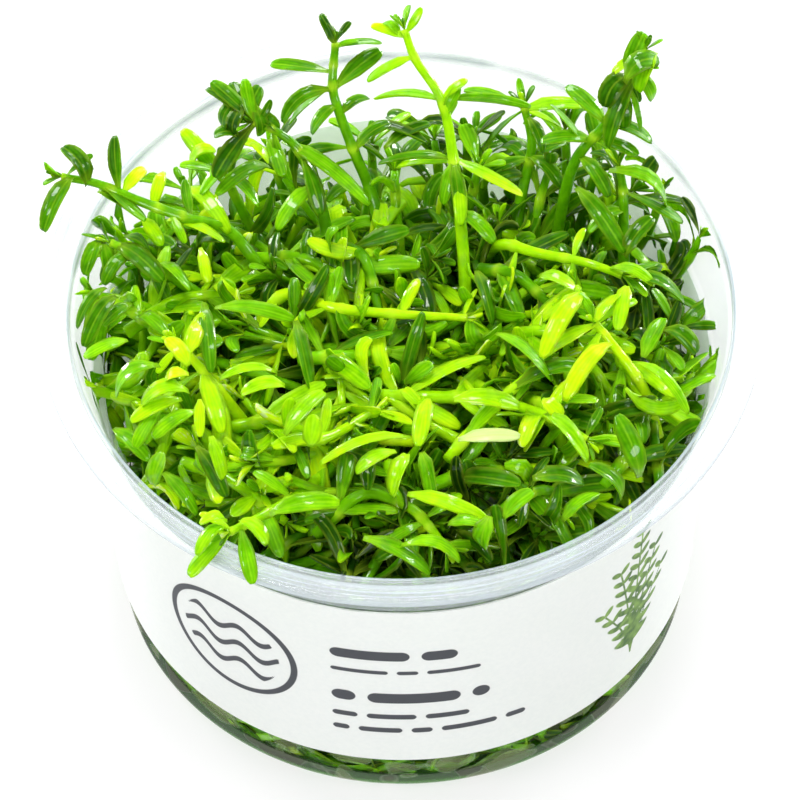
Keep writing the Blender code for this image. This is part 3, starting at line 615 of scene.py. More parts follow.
def leaf_material(name, veins, see_through):
    """Wet leaf or stem: its tone is a value on the mesh, with a pale midrib, paler edges painted as light shining
    through them, fine mottling and a clear coat.
    """
    material, tree, shader = new_material(name)
    n = Nodes(tree)
    mottle = n.noise(600.0, 2.0)
    change = n.math("MULTIPLY", n.math("SUBTRACT", mottle, 0.5), 0.30)
    tone = n.math("ADD", n.attribute("tone"), change)
    if veins:
        slant = n.math("ADD", n.math("MULTIPLY", n.math("ABSOLUTE", n.attribute("across")), 15.0), n.math("MULTIPLY", n.attribute("along"), -9.0))
        tone = n.math("ADD", tone, n.math("MULTIPLY", n.math("COSINE", slant, 0.0), 0.035))
    colour = n.ramp(n.math("MAXIMUM", tone, 0.0, clamp=True), LEAF_STOPS)
    if not veins:
        streaks = n.math("ADD", n.math("MULTIPLY", n.attribute("across"), 0.10), n.attribute("along"), clamp=True)
        colour = n.mix(n.math("MULTIPLY", streaks, 0.45), colour, (0.62, 0.86, 0.03, 1))
    if veins:
        across = n.math("ABSOLUTE", n.attribute("across"))
        rib = n.math("SUBTRACT", 1.0, n.math("MULTIPLY", across, 7.0), clamp=True)
        # Painted light: the edges are paled towards lime, for light shining through the thin margins.
        edge = n.math("MULTIPLY", n.math("SUBTRACT", across, 0.60), 2.4, clamp=True)
        pale = n.mix(0.55, colour, (0.62, 0.90, 0.04, 1))
        colour = n.mix(n.math("MULTIPLY", rib, 0.40), colour, pale)
        colour = n.mix(n.math("MULTIPLY", edge, 0.45), colour, pale)
        base = n.math("SUBTRACT", 1.0, n.math("MULTIPLY", n.attribute("along"), 3.0), clamp=True)
        colour = n.mix(n.math("MULTIPLY", base, 0.60), colour, pale)
    n.link(colour, shader.inputs["Base Color"])
    shader.inputs["Specular IOR Level"].default_value = 0.18
    shader.inputs["Specular Tint"].default_value = (0.55, 1.0, 0.20, 1)
    wet = n.noise(420.0, 1.0)
    n.link(n.math("MULTIPLY", n.math("SUBTRACT", wet, 0.535), 16.0, clamp=True), shader.inputs["Coat Weight"])
    shader.inputs["Coat Roughness"].default_value = 0.05
    shader.inputs["Coat IOR"].default_value = 1.62
    rough = n.math("ADD", 0.22, n.math("MULTIPLY", mottle, 0.22))
    n.link(rough, shader.inputs["Roughness"])
    n.link(n.bump(n.noise(450.0, 1.0), 0.6, 0.00045), shader.inputs["Normal"])
    glow = n.add("ShaderNodeBsdfTranslucent")
    n.link(n.mix(0.3, colour, (0.45, 0.85, 0.02, 1)), glow.inputs["Color"])
    both = n.add("ShaderNodeMixShader")
    both.inputs["Fac"].default_value = see_through
    n.link(shader.outputs[0], both.inputs[1])
    n.link(glow.outputs[0], both.inputs[2])
    n.link(both.outputs[0], tree.nodes["Material Output"].inputs["Surface"])
    return material


def tub_material():
    """Clear, slightly milky moulded plastic: nearly clear in the base band but for patches of moisture, cloudier in
    the neck and rim, and more solid where it is seen edge on. Its colour greys where it is seen edge on and along the
    rim's edges, painted shade for the dark edges that refraction gives, and the moisture patches have pale rims of
    painted highlight."""
    material, tree, shader = new_material("clear_plastic")
    n = Nodes(tree)
    facing = n.add("ShaderNodeLayerWeight")
    facing.inputs["Blend"].default_value = 0.30
    split = n.add("ShaderNodeSeparateXYZ")
    n.link(n.add("ShaderNodeTexCoord").outputs["Object"], split.inputs[0])
    height = n.math("MULTIPLY", split.outputs["Z"], 1000.0)
    above = n.math("MULTIPLY", n.math("SUBTRACT", height, LABEL_BOTTOM - 0.6), 2.0, clamp=True)
    cloud = n.noise(90.0, 2.0)
    moisture = n.noise(130.0, 1.0)
    damp = n.math("MULTIPLY", n.math("SUBTRACT", moisture, 0.53), 60.0, clamp=True)
    # Painted highlight: a thin pale rim round each moisture patch, for the bright edges of condensation.
    outline = n.near(moisture, 0.53, 0.012)
    low = n.math("ADD", n.math("MULTIPLY", damp, 0.34), n.math("MULTIPLY", outline, 0.25))
    low = n.math("ADD", low, n.math("MULTIPLY", facing.outputs["Facing"], 0.03))
    high = n.math("ADD", 0.07, n.math("MULTIPLY", facing.outputs["Facing"], 0.42))
    high = n.math("ADD", high, n.math("MULTIPLY", n.math("SUBTRACT", cloud, 0.5), 0.08))
    alpha = n.math("ADD", n.math("MULTIPLY", above, high), n.math("MULTIPLY", n.math("SUBTRACT", 1.0, above), low))
    away = n.math("MULTIPLY", n.length(split.outputs["X"], split.outputs["Y"]), 1000.0)
    # Painted shade: thin dark lines along the rim's outer edge, its step and the mouth, for the dark edges that
    # refraction gives.
    edges = n.math("ADD", n.math("MULTIPLY", n.near(away, RIM_RADIUS, 0.8), 0.5), n.near(away, MOUTH_RADIUS + 0.3, 0.35))
    edges = n.math("ADD", edges, n.math("MULTIPLY", n.near(away, RIM_RADIUS - 1.6, 0.25), 0.7), clamp=True)
    edges = n.math("MULTIPLY", edges, n.math("SUBTRACT", n.math("MULTIPLY", cloud, 2.4), 0.30, clamp=True))
    foot = n.math("MULTIPLY", n.math("SUBTRACT", 3.0, height), 0.7, clamp=True)
    alpha = n.math("ADD", alpha, n.math("MULTIPLY", edges, 0.62), clamp=True)
    n.link(n.math("MAXIMUM", alpha, n.math("MULTIPLY", foot, 0.9)), shader.inputs["Alpha"])
    # Painted shade: the colour greys where the plastic is seen edge on.
    tint = n.ramp(facing.outputs["Facing"], ((0.25, (0.84, 0.91, 0.95)), (0.9, (0.52, 0.59, 0.62))))
    # Painted shade along the rim's edges.
    tint = n.mix(edges, tint, (0.33, 0.41, 0.46, 1))
    wetted = n.mix(damp, (0.06, 0.30, 0.001, 1), (0.22, 0.28, 0.11, 1))
    # Painted highlight on the moisture patches' rims.
    wetted = n.mix(n.math("MULTIPLY", outline, 0.6), wetted, (0.75, 0.85, 0.60, 1))
    n.link(n.mix(n.math("SUBTRACT", 1.0, above), tint, wetted), shader.inputs["Base Color"])
    shader.inputs["IOR"].default_value = 1.49
    n.link(n.math("ADD", 0.08, n.math("MULTIPLY", cloud, 0.10)), shader.inputs["Roughness"])
    n.link(n.bump(n.noise(60.0, 1.0), 0.2, 0.0003), shader.inputs["Normal"])
    return material


def label_material():
    """White film that lets some light through, with ink where the values drawn on the mesh are above zero."""
    material, tree, shader = new_material("label_film")
    n = Nodes(tree)
    grain = n.noise(1500.0, 1.0)
    paper = n.ramp(grain, ((0.3, (0.91, 0.92, 0.93)), (0.7, (0.94, 0.945, 0.95))))
    dark = n.math("ADD", 0.5, n.math("MULTIPLY", n.attribute("dark_ink"), 9.0), clamp=True)
    green = n.math("ADD", 0.5, n.math("MULTIPLY", n.attribute("green_ink"), 9.0), clamp=True)
    colour = n.mix(dark, paper, (0.055, 0.06, 0.075, 1))
    leaf = n.ramp(n.noise(700.0, 1.0), ((0.35, (0.06, 0.16, 0.02)), (0.65, (0.24, 0.42, 0.07))))
    colour = n.mix(green, colour, leaf)
    n.link(colour, shader.inputs["Base Color"])
    n.link(n.math("ADD", 0.34, n.math("MULTIPLY", grain, 0.14)), shader.inputs["Roughness"])
    through = n.add("ShaderNodeBsdfTranslucent")
    n.link(colour, through.inputs["Color"])
    both = n.add("ShaderNodeMixShader")
    both.inputs["Fac"].default_value = 0.34
    n.link(shader.outputs[0], both.inputs[1])
    n.link(through.outputs[0], both.inputs[2])
    n.link(both.outputs[0], tree.nodes["Material Output"].inputs["Surface"])
    return material


def label_back_painted_glow_material():
    """The side of the film that faces the tub: bare, with a pale-green tint and a faint pale-green glow painted on,
    as painted light for the light that comes through it, greened by the plants.
    """
    material, tree, shader = new_material("label_back")
    n = Nodes(tree)
    # Painted light: the greenish paper colour stands in for light bounced off the plants.
    paper = n.ramp(n.noise(120.0, 1.0), ((0.3, (0.80, 0.88, 0.76)), (0.7, (0.88, 0.93, 0.85))))
    n.link(paper, shader.inputs["Base Color"])
    shader.inputs["Roughness"].default_value = 0.45
    # Painted glow: a faint pale-green emission stands in for the light that comes through the film.
    shader.inputs["Emission Color"].default_value = (0.84, 1.0, 0.72, 1)
    shader.inputs["Emission Strength"].default_value = 0.17
    through = n.add("ShaderNodeBsdfTranslucent")
    n.link(paper, through.inputs["Color"])
    both = n.add("ShaderNodeMixShader")
    both.inputs["Fac"].default_value = 0.34
    n.link(shader.outputs[0], both.inputs[1])
    n.link(through.outputs[0], both.inputs[2])
    n.link(both.outputs[0], tree.nodes["Material Output"].inputs["Surface"])
    return material


def wall_radius(height):
    """The outside of the wall under the label and down to the base."""
    slope = (LABEL_TOP_RADIUS - LABEL_BOTTOM_RADIUS) / (LABEL_TOP - LABEL_BOTTOM)
    return LABEL_BOTTOM_RADIUS + slope * (height - LABEL_BOTTOM) - LABEL_THICKNESS - GAP


def inside_radius(height):
    """The inside of the tub at each height, as an array."""
    low = wall_radius(height) - WALL
    neck_share = (height - NECK_FOOT_HEIGHT) / (CUP_HEIGHT - 2.2 - NECK_FOOT_HEIGHT)
    neck = NECK_FOOT_RADIUS - WALL + neck_share * (MOUTH_RADIUS - 0.6 - NECK_FOOT_RADIUS + WALL)
    radius = np.where(height > NECK_FOOT_HEIGHT, neck, low)
    corner = np.clip((FLOOR + BASE_CORNER - height) / BASE_CORNER, 0, 1)
    radius = radius - BASE_CORNER * (1 - np.sqrt(1 - corner**2))
    return np.where(height > CUP_HEIGHT, MOUTH_RADIUS + 0.6, np.minimum(radius, MOUTH_RADIUS))


def rounded_corner(radius, height, size, steps):
    """Points of a quarter round that turns from a wall at this radius to a floor at this height."""
    turns = [math.pi / 2 * i / steps for i in range(steps + 1)]
    return [(radius - size * (1 - math.cos(a)), height + size * (1 - math.sin(a))) for a in turns]


def cup_profile():
    """The wall from the middle of the floor up the inside, over the rim and down the outside."""
    recess_top = LABEL_TOP + 0.5
    recess_bottom = LABEL_BOTTOM - 0.4
    inner_corner = BASE_CORNER - 0.4
    inside = [
        (0.0, FLOOR),
        *reversed(rounded_corner(BASE_RADIUS - WALL, FLOOR, inner_corner, 6)),
        (wall_radius(recess_top) - WALL, recess_top),
        (NECK_FOOT_RADIUS - WALL - 0.15, NECK_FOOT_HEIGHT + 0.15),
        (NECK_FOOT_RADIUS - WALL, NECK_FOOT_HEIGHT + 0.5),
        (MOUTH_RADIUS - 0.65, CUP_HEIGHT - 2.4),
        (MOUTH_RADIUS - 0.5, CUP_HEIGHT - 2.1),
        (MOUTH_RADIUS - 0.1, CUP_HEIGHT - 1.9),
        (MOUTH_RADIUS, CUP_HEIGHT - 1.7),
        (MOUTH_RADIUS, CUP_HEIGHT - 0.75),
        (MOUTH_RADIUS + 0.12, CUP_HEIGHT - 0.48),
        (MOUTH_RADIUS + 0.4, CUP_HEIGHT - 0.38),
    ]
    rim = [
        (RIM_RADIUS - 0.9, CUP_HEIGHT - 0.02),
        (RIM_RADIUS - 0.4, CUP_HEIGHT),
        (RIM_RADIUS - 0.1, CUP_HEIGHT - 0.12),
        (RIM_RADIUS, CUP_HEIGHT - 0.4),
        (RIM_RADIUS, CUP_HEIGHT - 1.1),
        (RIM_RADIUS - 0.15, CUP_HEIGHT - 1.28),
        (RIM_RADIUS - 0.5, CUP_HEIGHT - 1.28),
        (RIM_RADIUS - 0.8, CUP_HEIGHT - 1.0),
        (MOUTH_RADIUS + 0.9, CUP_HEIGHT - 1.2),
    ]
    outside = [
        (MOUTH_RADIUS + 0.45, CUP_HEIGHT - 1.6),
        (MOUTH_RADIUS + 0.3, CUP_HEIGHT - 2.4),
        (NECK_FOOT_RADIUS + 0.02, NECK_FOOT_HEIGHT + 0.3),
        (NECK_FOOT_RADIUS - 0.2, NECK_FOOT_HEIGHT),
        (wall_radius(recess_top), recess_top),
        (wall_radius(recess_bottom), recess_bottom),
        (wall_radius(recess_bottom) + 0.3, recess_bottom - 0.2),
        *rounded_corner(BASE_RADIUS, 0.0, BASE_CORNER, 6),
        (0.0, 0.0),
    ]
    return inside + rim + outside


def add_object(name, mesh, materials):
    obj = bpy.data.objects.new(name, mesh)
    bpy.context.scene.collection.objects.link(obj)
    for material in materials:
        mesh.materials.append(material)
    return obj


def make_tub():
    mesh = bpy.data.meshes.new("tub")
    points = cup_profile()
    edges = [(i, i + 1) for i in range(len(points) - 1)]
    mesh.from_pydata([(r * MM, 0.0, z * MM) for r, z in points], edges, [])
    tub = add_object("tub", mesh, [tub_material()])
    screw = tub.modifiers.new("Turned", "SCREW")
    screw.angle = math.tau
    screw.steps = TURNED_STEPS
    screw.render_steps = TURNED_STEPS
    screw.use_merge_vertices = True
    screw.merge_threshold = 1e-5
    screw.use_smooth_shade = True
    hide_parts("cup")
    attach(tub, "root")


def word_bar(x, y, left, middle, long, tall):
    """A bar with rounded ends, as deep inside it as the value is high."""
    half = tall / 2
    across = np.maximum(np.abs(x - left - long / 2) - long / 2 + half, 0.0)
    return half - np.hypot(across, y - middle)


def dark_print(x, y):
    """Generic dark marks: a ring with three waves, and rows of plain bars. Positive is ink."""
    away = np.hypot(x - RING_PLACE[0], y - RING_PLACE[1])
    ink = RING_STROKE / 2 - np.abs(away - RING_RADIUS)
    for row in (-4.2, 0.0, 4.2):
        wave = y - RING_PLACE[1] - row - 1.1 * np.sin((x - RING_PLACE[0]) * 0.9)
        ink = np.maximum(ink, np.minimum(0.5 - np.abs(wave) * 0.8, RING_RADIUS - 2.2 - away))
    for middle, tall, left, bars in BAR_ROWS:
        for long in bars:
            ink = np.maximum(ink, word_bar(x, y, left, middle, long, tall))
            left += long + 0.9 + tall * 0.3
    return ink


def green_print(x, y):
    """A generic spray of curved stalks with oval leaves in pairs."""
    foot_x, foot_y = SPRAY_PLACE
    ink = np.full(x.shape, -1.0)
    for bend, tall in SPRAY_STALKS:
        pairs = int(tall / 2.6)
        for i in range(1, pairs + 1):
            share = i / pairs
            middle_x = foot_x + bend * share**1.5
            middle_y = foot_y + tall * share
            for side in (-1, 1):
                long = 3.4 * (1.15 - 0.5 * share)
                angle = math.radians(90 - side * 48) - bend * 0.03
                across, along = math.cos(angle), math.sin(angle)
                u = (x - middle_x) * across + (y - middle_y) * along
                v = (y - middle_y) * across - (x - middle_x) * along
                ink = np.maximum(ink, 0.45 * (1 - np.hypot((u / long * 2) - 1, v / 0.55)))
        share = np.clip((y - foot_y) / tall, 0, 1)
        stalk = 0.16 - np.abs(x - foot_x - bend * share**1.5)
        ink = np.maximum(ink, np.minimum(stalk, np.minimum(y - foot_y, foot_y + tall - y)))
    return ink


def make_label():
    """A thin band round the wall, fine where it is printed."""
    fine = np.linspace(-PRINTED_TURN, PRINTED_TURN, 520)
    coarse = np.linspace(PRINTED_TURN, math.tau - PRINTED_TURN, 90)[1:-1]
    turns = np.concatenate([fine, coarse])
    rows = 110
    heights = np.linspace(LABEL_TOP, LABEL_BOTTOM, rows)
    levels = np.concatenate([heights, [LABEL_BOTTOM, LABEL_TOP]])
    share = (levels - LABEL_BOTTOM) / (LABEL_TOP - LABEL_BOTTOM)
    radii = LABEL_BOTTOM_RADIUS + share * (LABEL_TOP_RADIUS - LABEL_BOTTOM_RADIUS)
    radii[rows:] -= LABEL_THICKNESS
    turn_grid, radius_grid = np.meshgrid(turns, radii, indexing="ij")
    height_grid = np.broadcast_to(levels, radius_grid.shape)
    points = np.stack([radius_grid * np.sin(turn_grid), -radius_grid * np.cos(turn_grid), height_grid], -1)
    ring = len(levels)
    a = np.arange(len(turns))[:, None]
    b = np.arange(ring)[None, :]
    after_a = (a + 1) % len(turns)
    after_b = (b + 1) % ring
    quads = np.stack([a * ring + b, a * ring + after_b, after_a * ring + after_b, after_a * ring + b], -1)
    mesh = mesh_from_arrays("wrap_label", points.reshape(-1, 3), quads.reshape(-1, 4))
    middle_radius = (LABEL_TOP_RADIUS + LABEL_BOTTOM_RADIUS) / 2
    across = np.where(turn_grid > math.pi, turn_grid - math.tau, turn_grid) * middle_radius
    printed = (np.arange(ring) < rows)[None, :] & (np.abs(turn_grid) < PRINTED_TURN)
    store_values(mesh, "dark_ink", np.where(printed, dark_print(across, height_grid), -1.0))
    store_values(mesh, "green_ink", np.where(printed, green_print(across, height_grid), -1.0))
    backs = np.broadcast_to(np.arange(ring) == rows, quads.shape[:2])
    mesh.polygons.foreach_set("material_index", backs.ravel().astype(np.int32))
    label = add_object("wrap_label", mesh, [label_material(), label_back_painted_glow_material()])
    mesh.set_sharp_from_angle(angle=math.radians(50))
    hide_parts("label")
    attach(label, "root")


def mesh_from_arrays(name, points, quads):
    """A smooth mesh from points in millimetres and quads."""
    mesh = bpy.data.meshes.new(name)
    mesh.vertices.add(len(points))
    mesh.vertices.foreach_set("co", (points * MM).astype(np.float32).ravel())
    mesh.loops.add(quads.size)
    mesh.loops.foreach_set("vertex_index", quads.astype(np.int32).ravel())
    mesh.polygons.add(len(quads))
    mesh.polygons.foreach_set("loop_start", np.arange(0, quads.size, 4, dtype=np.int32))
    mesh.update(calc_edges=True)
    mesh.validate()
    mesh.shade_smooth()
    return mesh


def store_values(mesh, name, values):
    layer = mesh.attributes.new(name, "FLOAT", "POINT")
    layer.data.foreach_set("value", np.asarray(values, np.float32).ravel())


def unit(vectors):
    return vectors / np.maximum(np.linalg.norm(vectors, axis=-1, keepdims=True), 1e-9)


UNDERSIDE = 0.14

# A leaf's skin: the places of its rings along it, and round each ring the share of its half width and of its
# thickness. Small and deep leaves have the coarse one.
FINE = (
    np.array([0.0, 0.12, 0.28, 0.45, 0.61, 0.75, 0.86, 0.94, 0.985]),
    np.array([-1.0, -0.5, 0.0, 0.5, 1.0, 0.5, 0.0, -0.5]),
    np.array([0.0, 0.8, 0.75, 0.8, 0.0, -0.8, -1.15, -0.8]),
)
COARSE = (
    np.array([0.0, 0.22, 0.48, 0.72, 0.89, 0.975]),
    np.array([-1.0, -0.4, 0.4, 1.0, 0.4, -0.4]),
    np.array([0.0, 0.9, 0.9, 0.0, -0.9, -0.9]),
)


def leaf_outline(place, taper):
    """The share of its full width that a leaf has at each place. taper 0 is a strap with a rounded tip, and 1 is
    widest past its middle with a long narrow foot."""
    opening = np.clip(place / (0.30 + 0.32 * taper), 0, 1)
    opening = 0.34 - 0.14 * taper + (0.66 + 0.14 * taper) * opening * opening * (3 - 2 * opening)
    closing = np.clip((place - 0.58) / 0.42, 0, 1)
    return opening * np.sqrt(np.maximum(1 - closing**2.8, 0.0))


class Growth:
    """Collects leaves and stems, and makes them into one mesh."""

    def __init__(self):
        self.leaves = {"fine": [], "coarse": []}
        self.tubes = []

    def leaf(self, base, middle, tip, facing, shape, tones, skin="fine"):
        """facing is the way that the upper side looks. shape is width, fold, twist and taper, and tones is the
        middle tone and how it changes along and across."""
        self.leaves[skin].append((*base, *middle, *tip, *facing, *shape, *tones))

    def tube(self, points, radii, tone, knots=None, around=8):
        """knots is 1 at a node of the stem and 0 between."""
        knots = np.zeros(len(points)) if knots is None else knots
        self.tubes.append((np.asarray(points, float), np.asarray(radii, float), tone, knots, around))

    def leaf_arrays(self, leaves, skin):
        places, ring, sides = skin
        rows = np.array(leaves, float)
        base, middle, tip, facing = (rows[:, None, 3 * i : 3 * i + 3] for i in range(4))
        width, fold, twist, taper, tone, shift, skew = (rows[:, 12 + i, None, None] for i in range(7))
        t = places[None, :, None]
        spine = base * (1 - t) ** 2 + middle * 2 * t * (1 - t) + tip * t * t
        ahead = unit((middle - base) * 2 * (1 - t) + (tip - middle) * 2 * t)
        side = unit(np.cross(unit(tip - base), facing))
        side = unit(side - ahead * (side * ahead).sum(-1, keepdims=True))
        up = np.cross(side, ahead)
        turn = twist * t
        side, up = side * np.cos(turn) + up * np.sin(turn), up * np.cos(turn) - side * np.sin(turn)
        half = width / 2 * leaf_outline(t, taper)
        out = half * ring
        thick = LEAF_THICKNESS / 2 * np.minimum(1, half / 0.5) * sides
        lift = thick + fold * half * (ring**2 - 0.35)
        points = spine[:, :, None] + side[:, :, None] * out[..., None] + up[:, :, None] * lift[..., None]
        count, steps, around = points.shape[:3]
        paler_below = np.where(sides < 0, UNDERSIDE, 0.0)
        tones = np.broadcast_to(tone + shift * (t - 0.5) + skew * ring + paler_below, (count, steps, around))
        alongs = np.broadcast_to(t, (count, steps, around))
        acrosses = np.broadcast_to(ring, (count, steps, around))
        starts = (np.arange(count) * steps * around)[:, None, None]
        quads = (strip_quads(steps, around)[None] + starts).reshape(-1, 4)
        return points.reshape(-1, 3), quads, tones, alongs, acrosses

    def tube_arrays(self, points, radii, tone, knots, around):
        ahead = unit(np.gradient(points, axis=0))
        side = unit(np.cross(ahead, np.array([0.31, 0.17, 0.93])))
        up = np.cross(side, ahead)
        turns = np.linspace(0, math.tau, around, endpoint=False)
        ring = side[:, None] * np.cos(turns)[None, :, None] + up[:, None] * np.sin(turns)[None, :, None]
        skin = points[:, None] + ring * radii[:, None, None]
        shape = skin.shape[:2]
        streaks = np.broadcast_to(np.cos(turns * 2)[None, :], shape)
        knots = np.broadcast_to(knots[:, None], shape)
        return skin.reshape(-1, 3), strip_quads(*shape), np.full(shape, tone), knots, streaks

    def mesh(self, name, keep_inside=True):
        skins = {"fine": FINE, "coarse": COARSE}
        batches = [(self.leaf_arrays(rows, skins[kind]), 0) for kind, rows in self.leaves.items() if rows]
        batches += [(self.tube_arrays(*tube), 1) for tube in self.tubes]
        offset = 0
        points, quads, kinds = [], [], []
        values = {"tone": [], "along": [], "across": []}
        for (skin, faces, *rest), kind in batches:
            points.append(skin)
            quads.append(faces + offset)
            kinds.append(np.full(len(faces), kind))
            offset += len(skin)
            for key, array in zip(values, rest):
                values[key].append(np.asarray(array).ravel())
        points = np.concatenate(points)
        if keep_inside:
            points = pressed_inside(points)
        mesh = mesh_from_arrays(name, points, np.concatenate(quads))
        for key, arrays in values.items():
            store_values(mesh, key, np.concatenate(arrays))
        mesh.polygons.foreach_set("material_index", np.concatenate(kinds).astype(np.int32))
        return mesh


def strip_quads(places, around):
    """Quads round a skin of rings, with its two ends closed by a fan of quads across them."""
    a = np.arange(places - 1)[:, None]
    b = np.arange(around)[None, :]
    after = (b + 1) % around
    sides = np.stack([a * around + b, a * around + after, (a + 1) * around + after, (a + 1) * around + b], -1)
    caps = []
    for start in (0, (places - 1) * around):
        for i in range(around // 2 - 1):
            cap = (i, i + 1, around - 2 - i, around - 1 - i)
            cap = cap if start else cap[::-1]
            caps.append([start + corner for corner in cap])
    return np.concatenate([sides.reshape(-1, 4), np.array(caps)])


def pressed_inside(points):
    """Leaves that would pass the tub's wall or floor lie against it instead."""
    points = points.copy()
    points[:, 2] = np.maximum(points[:, 2], FLOOR + 0.15)
    reach = np.hypot(points[:, 0], points[:, 1])
    most = inside_radius(points[:, 2]) - 0.2
    shrink = np.minimum(1, most / np.maximum(reach, 1e-6))
    points[:, :2] *= shrink[:, None]
    return points


def heading_vector(heading, rise):
    level = math.cos(math.radians(rise))
    turn = math.radians(heading)
    return Vector((level * math.cos(turn), level * math.sin(turn), math.sin(math.radians(rise))))


def point_along(points, share):
    lengths = [(b - a).length for a, b in zip(points, points[1:])]
    left = share * sum(lengths)
    for (a, b), length in zip(zip(points, points[1:]), lengths):
        if left <= length:
            return a.lerp(b, left / length)
        left -= length
    return points[-1].copy()


def smooth_route(points, steps):
    """A Catmull-Rom curve through the points, as evenly stepped points."""
    ends = [points[0] * 2 - points[1], *points, points[-1] * 2 - points[-2]]
    dense = []
    for a, b, c, d in zip(ends, ends[1:], ends[2:], ends[3:]):
        for i in range(8):
            t = i / 8
            bend = 2 * a - 5 * b + 4 * c - d
            twist = 3 * b - a - 3 * c + d
            dense.append(0.5 * (2 * b + (c - a) * t + bend * t * t + twist * t**3))
    dense.append(points[-1])
    return [point_along(dense, i / steps) for i in range(steps + 1)]


def tangle_height(x, y):
    """The top of the tangle: high in the middle, lower at the sides, and falling away to the back."""
    back = max(y, 0.0)
    front = min(y, 0.0)
    lumps = TANGLE_LUMPS * noise.noise(Vector((x, y, 0.0)) / 9.0)
    return 56.5 - 0.0045 * x * x - 0.0030 * front * front - 0.0190 * back * back + lumps


def node_closeness(count, length, nodes):
    """1 at each node of a stem, falling to 0 within a millimetre."""
    places = np.linspace(0, 1, count)
    closeness = np.zeros(count)
    for node in nodes:
        closeness = np.maximum(closeness, np.exp(-(((places - node) * length / 0.6) ** 2)))
    return closeness


def grow_stem(growth, points, nodes, foot, tip, tone, around=8):
    """A stem that tapers to its tip and swells a little at each node."""
    length = sum((b - a).length for a, b in zip(points, points[1:]))
    knots = node_closeness(len(points), length, nodes)
    radii = (foot + (tip - foot) * np.linspace(0, 1, len(points)) ** 1.5) * (1 + 0.2 * knots)
    growth.tube(points, radii, tone, knots, around)


def leaf_tones(tone, chance):
    """A leaf's middle tone and how it changes along and across it."""
    return min(tone + chance.gauss(0, 0.17), 0.82), chance.uniform(-0.16, 0.26), chance.uniform(-0.10, 0.10)


def add_free_leaf(growth, base, direction, length, tone, chance):
    """A leaf that runs from its base the given way, with a gentle arch and its upper side up."""
    up = Vector((0, 0, 1))
    if abs(direction.z) > 0.75:
        up = Vector((0, -1, 0.4))
    side = direction.cross(up).normalized()
    up = side.cross(direction)
    tip = base + direction * length
    sway = side * chance.uniform(-0.08, 0.08) * length
    middle = base.lerp(tip, 0.5) + up * (2 * LEAF_ARCH * length) + sway
    facing = up + side * chance.uniform(-0.5, 0.5)
    width = min(length / LEAF_SLENDER, 2.5) * chance.uniform(0.95, 1.15)
    shape = (width, chance.uniform(0.1, 0.5), chance.uniform(-0.5, 0.5), chance.random())
    growth.leaf(base, middle, tip, facing, shape, leaf_tones(tone, chance))


def add_placed_leaves(growth, rows, chance):
    """Leaves from the table. One that is lifted a lot curls over, with its upper side outward."""
    for base, tip, lift, width, tone in rows:
        base, tip = Vector(base), Vector(tip)
        along = tip - base
        side = along.cross(Vector((0, 0, 1))).normalized()
        up = side.cross(along).normalized()
        control = base.lerp(tip, 0.42) + up * (2 * lift * along.length)
        facing = up + side * chance.uniform(-0.3, 0.3)
        shape = (width * 0.9, chance.uniform(0.1, 0.6), chance.uniform(-0.6, 0.6), chance.uniform(0, 0.3))
        tones = (tone + chance.gauss(0, 0.03), chance.uniform(-0.05, 0.12), chance.uniform(-0.05, 0.05))
        growth.leaf(base, control, tip, facing, shape, tones)


def add_bud(growth, tip, ahead, tone, chance, pairs):
    """The youngest leaves at the end of a stem. Each pair is its length and how far it spreads, in degrees."""
    side = ahead.cross(Vector((0.2, 0.5, 0.8))).normalized()
    start = chance.uniform(0, 180)
    for i, (length, spread) in enumerate(pairs):
        for half in (0, 180):
            turn = Matrix.Rotation(math.radians(start + half + 90 * i + chance.uniform(-15, 15)), 3, ahead)
            out = turn @ side
            angle = math.radians(spread + chance.uniform(-8, 8))
            way = ahead * math.cos(angle) + out * math.sin(angle)
            long = length * chance.uniform(0.85, 1.1)
            middle = tip + (way * 0.5 + ahead * 0.12) * long
            shape = (long * chance.uniform(0.28, 0.36), chance.uniform(0.2, 0.6), chance.uniform(-0.3, 0.3), 1)
            skin = "fine" if length > 4 else "coarse"
            facing = ahead - out * 0.5 + Vector((0, -0.15, 0.5))
            growth.leaf(tip, middle, tip + way * long, facing, shape, leaf_tones(tone, chance), skin)


def make_stem(name, spec, materials, chance):
    x, y = spec["root"]
    root = Vector((x, y, tangle_height(x, y) + GAP))
    points = smooth_route([root, *map(Vector, spec["route"])], 48)
    nodes = sorted({round(min(leaf[0], 0.985), 1) for leaf in spec["leaves"]})
    growth = Growth()
    grow_stem(growth, points, nodes, STEM_RADIUS * 1.05, STEM_RADIUS * 0.62, spec["tone"] + 0.06, 10)
    for along, heading, rise, long in spec["leaves"]:
        base = point_along(points, min(along, 0.985))
        add_free_leaf(growth, base, heading_vector(heading, rise), long, spec["tone"], chance)
    add_placed_leaves(growth, PLACED_LEAVES.get(name, ()), chance)
    add_bud(growth, points[-1], (points[-1] - points[-4]).normalized(), spec["tone"], chance, TIP_BUD)
    stem = add_object(name + "_grown", growth.mesh(name + "_grown", False), materials)
    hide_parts(name)
    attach(stem, "root")


def bent(root, middle, tip, t):
    return root * (1 - t) ** 2 + middle * 2 * t * (1 - t) + tip * t * t


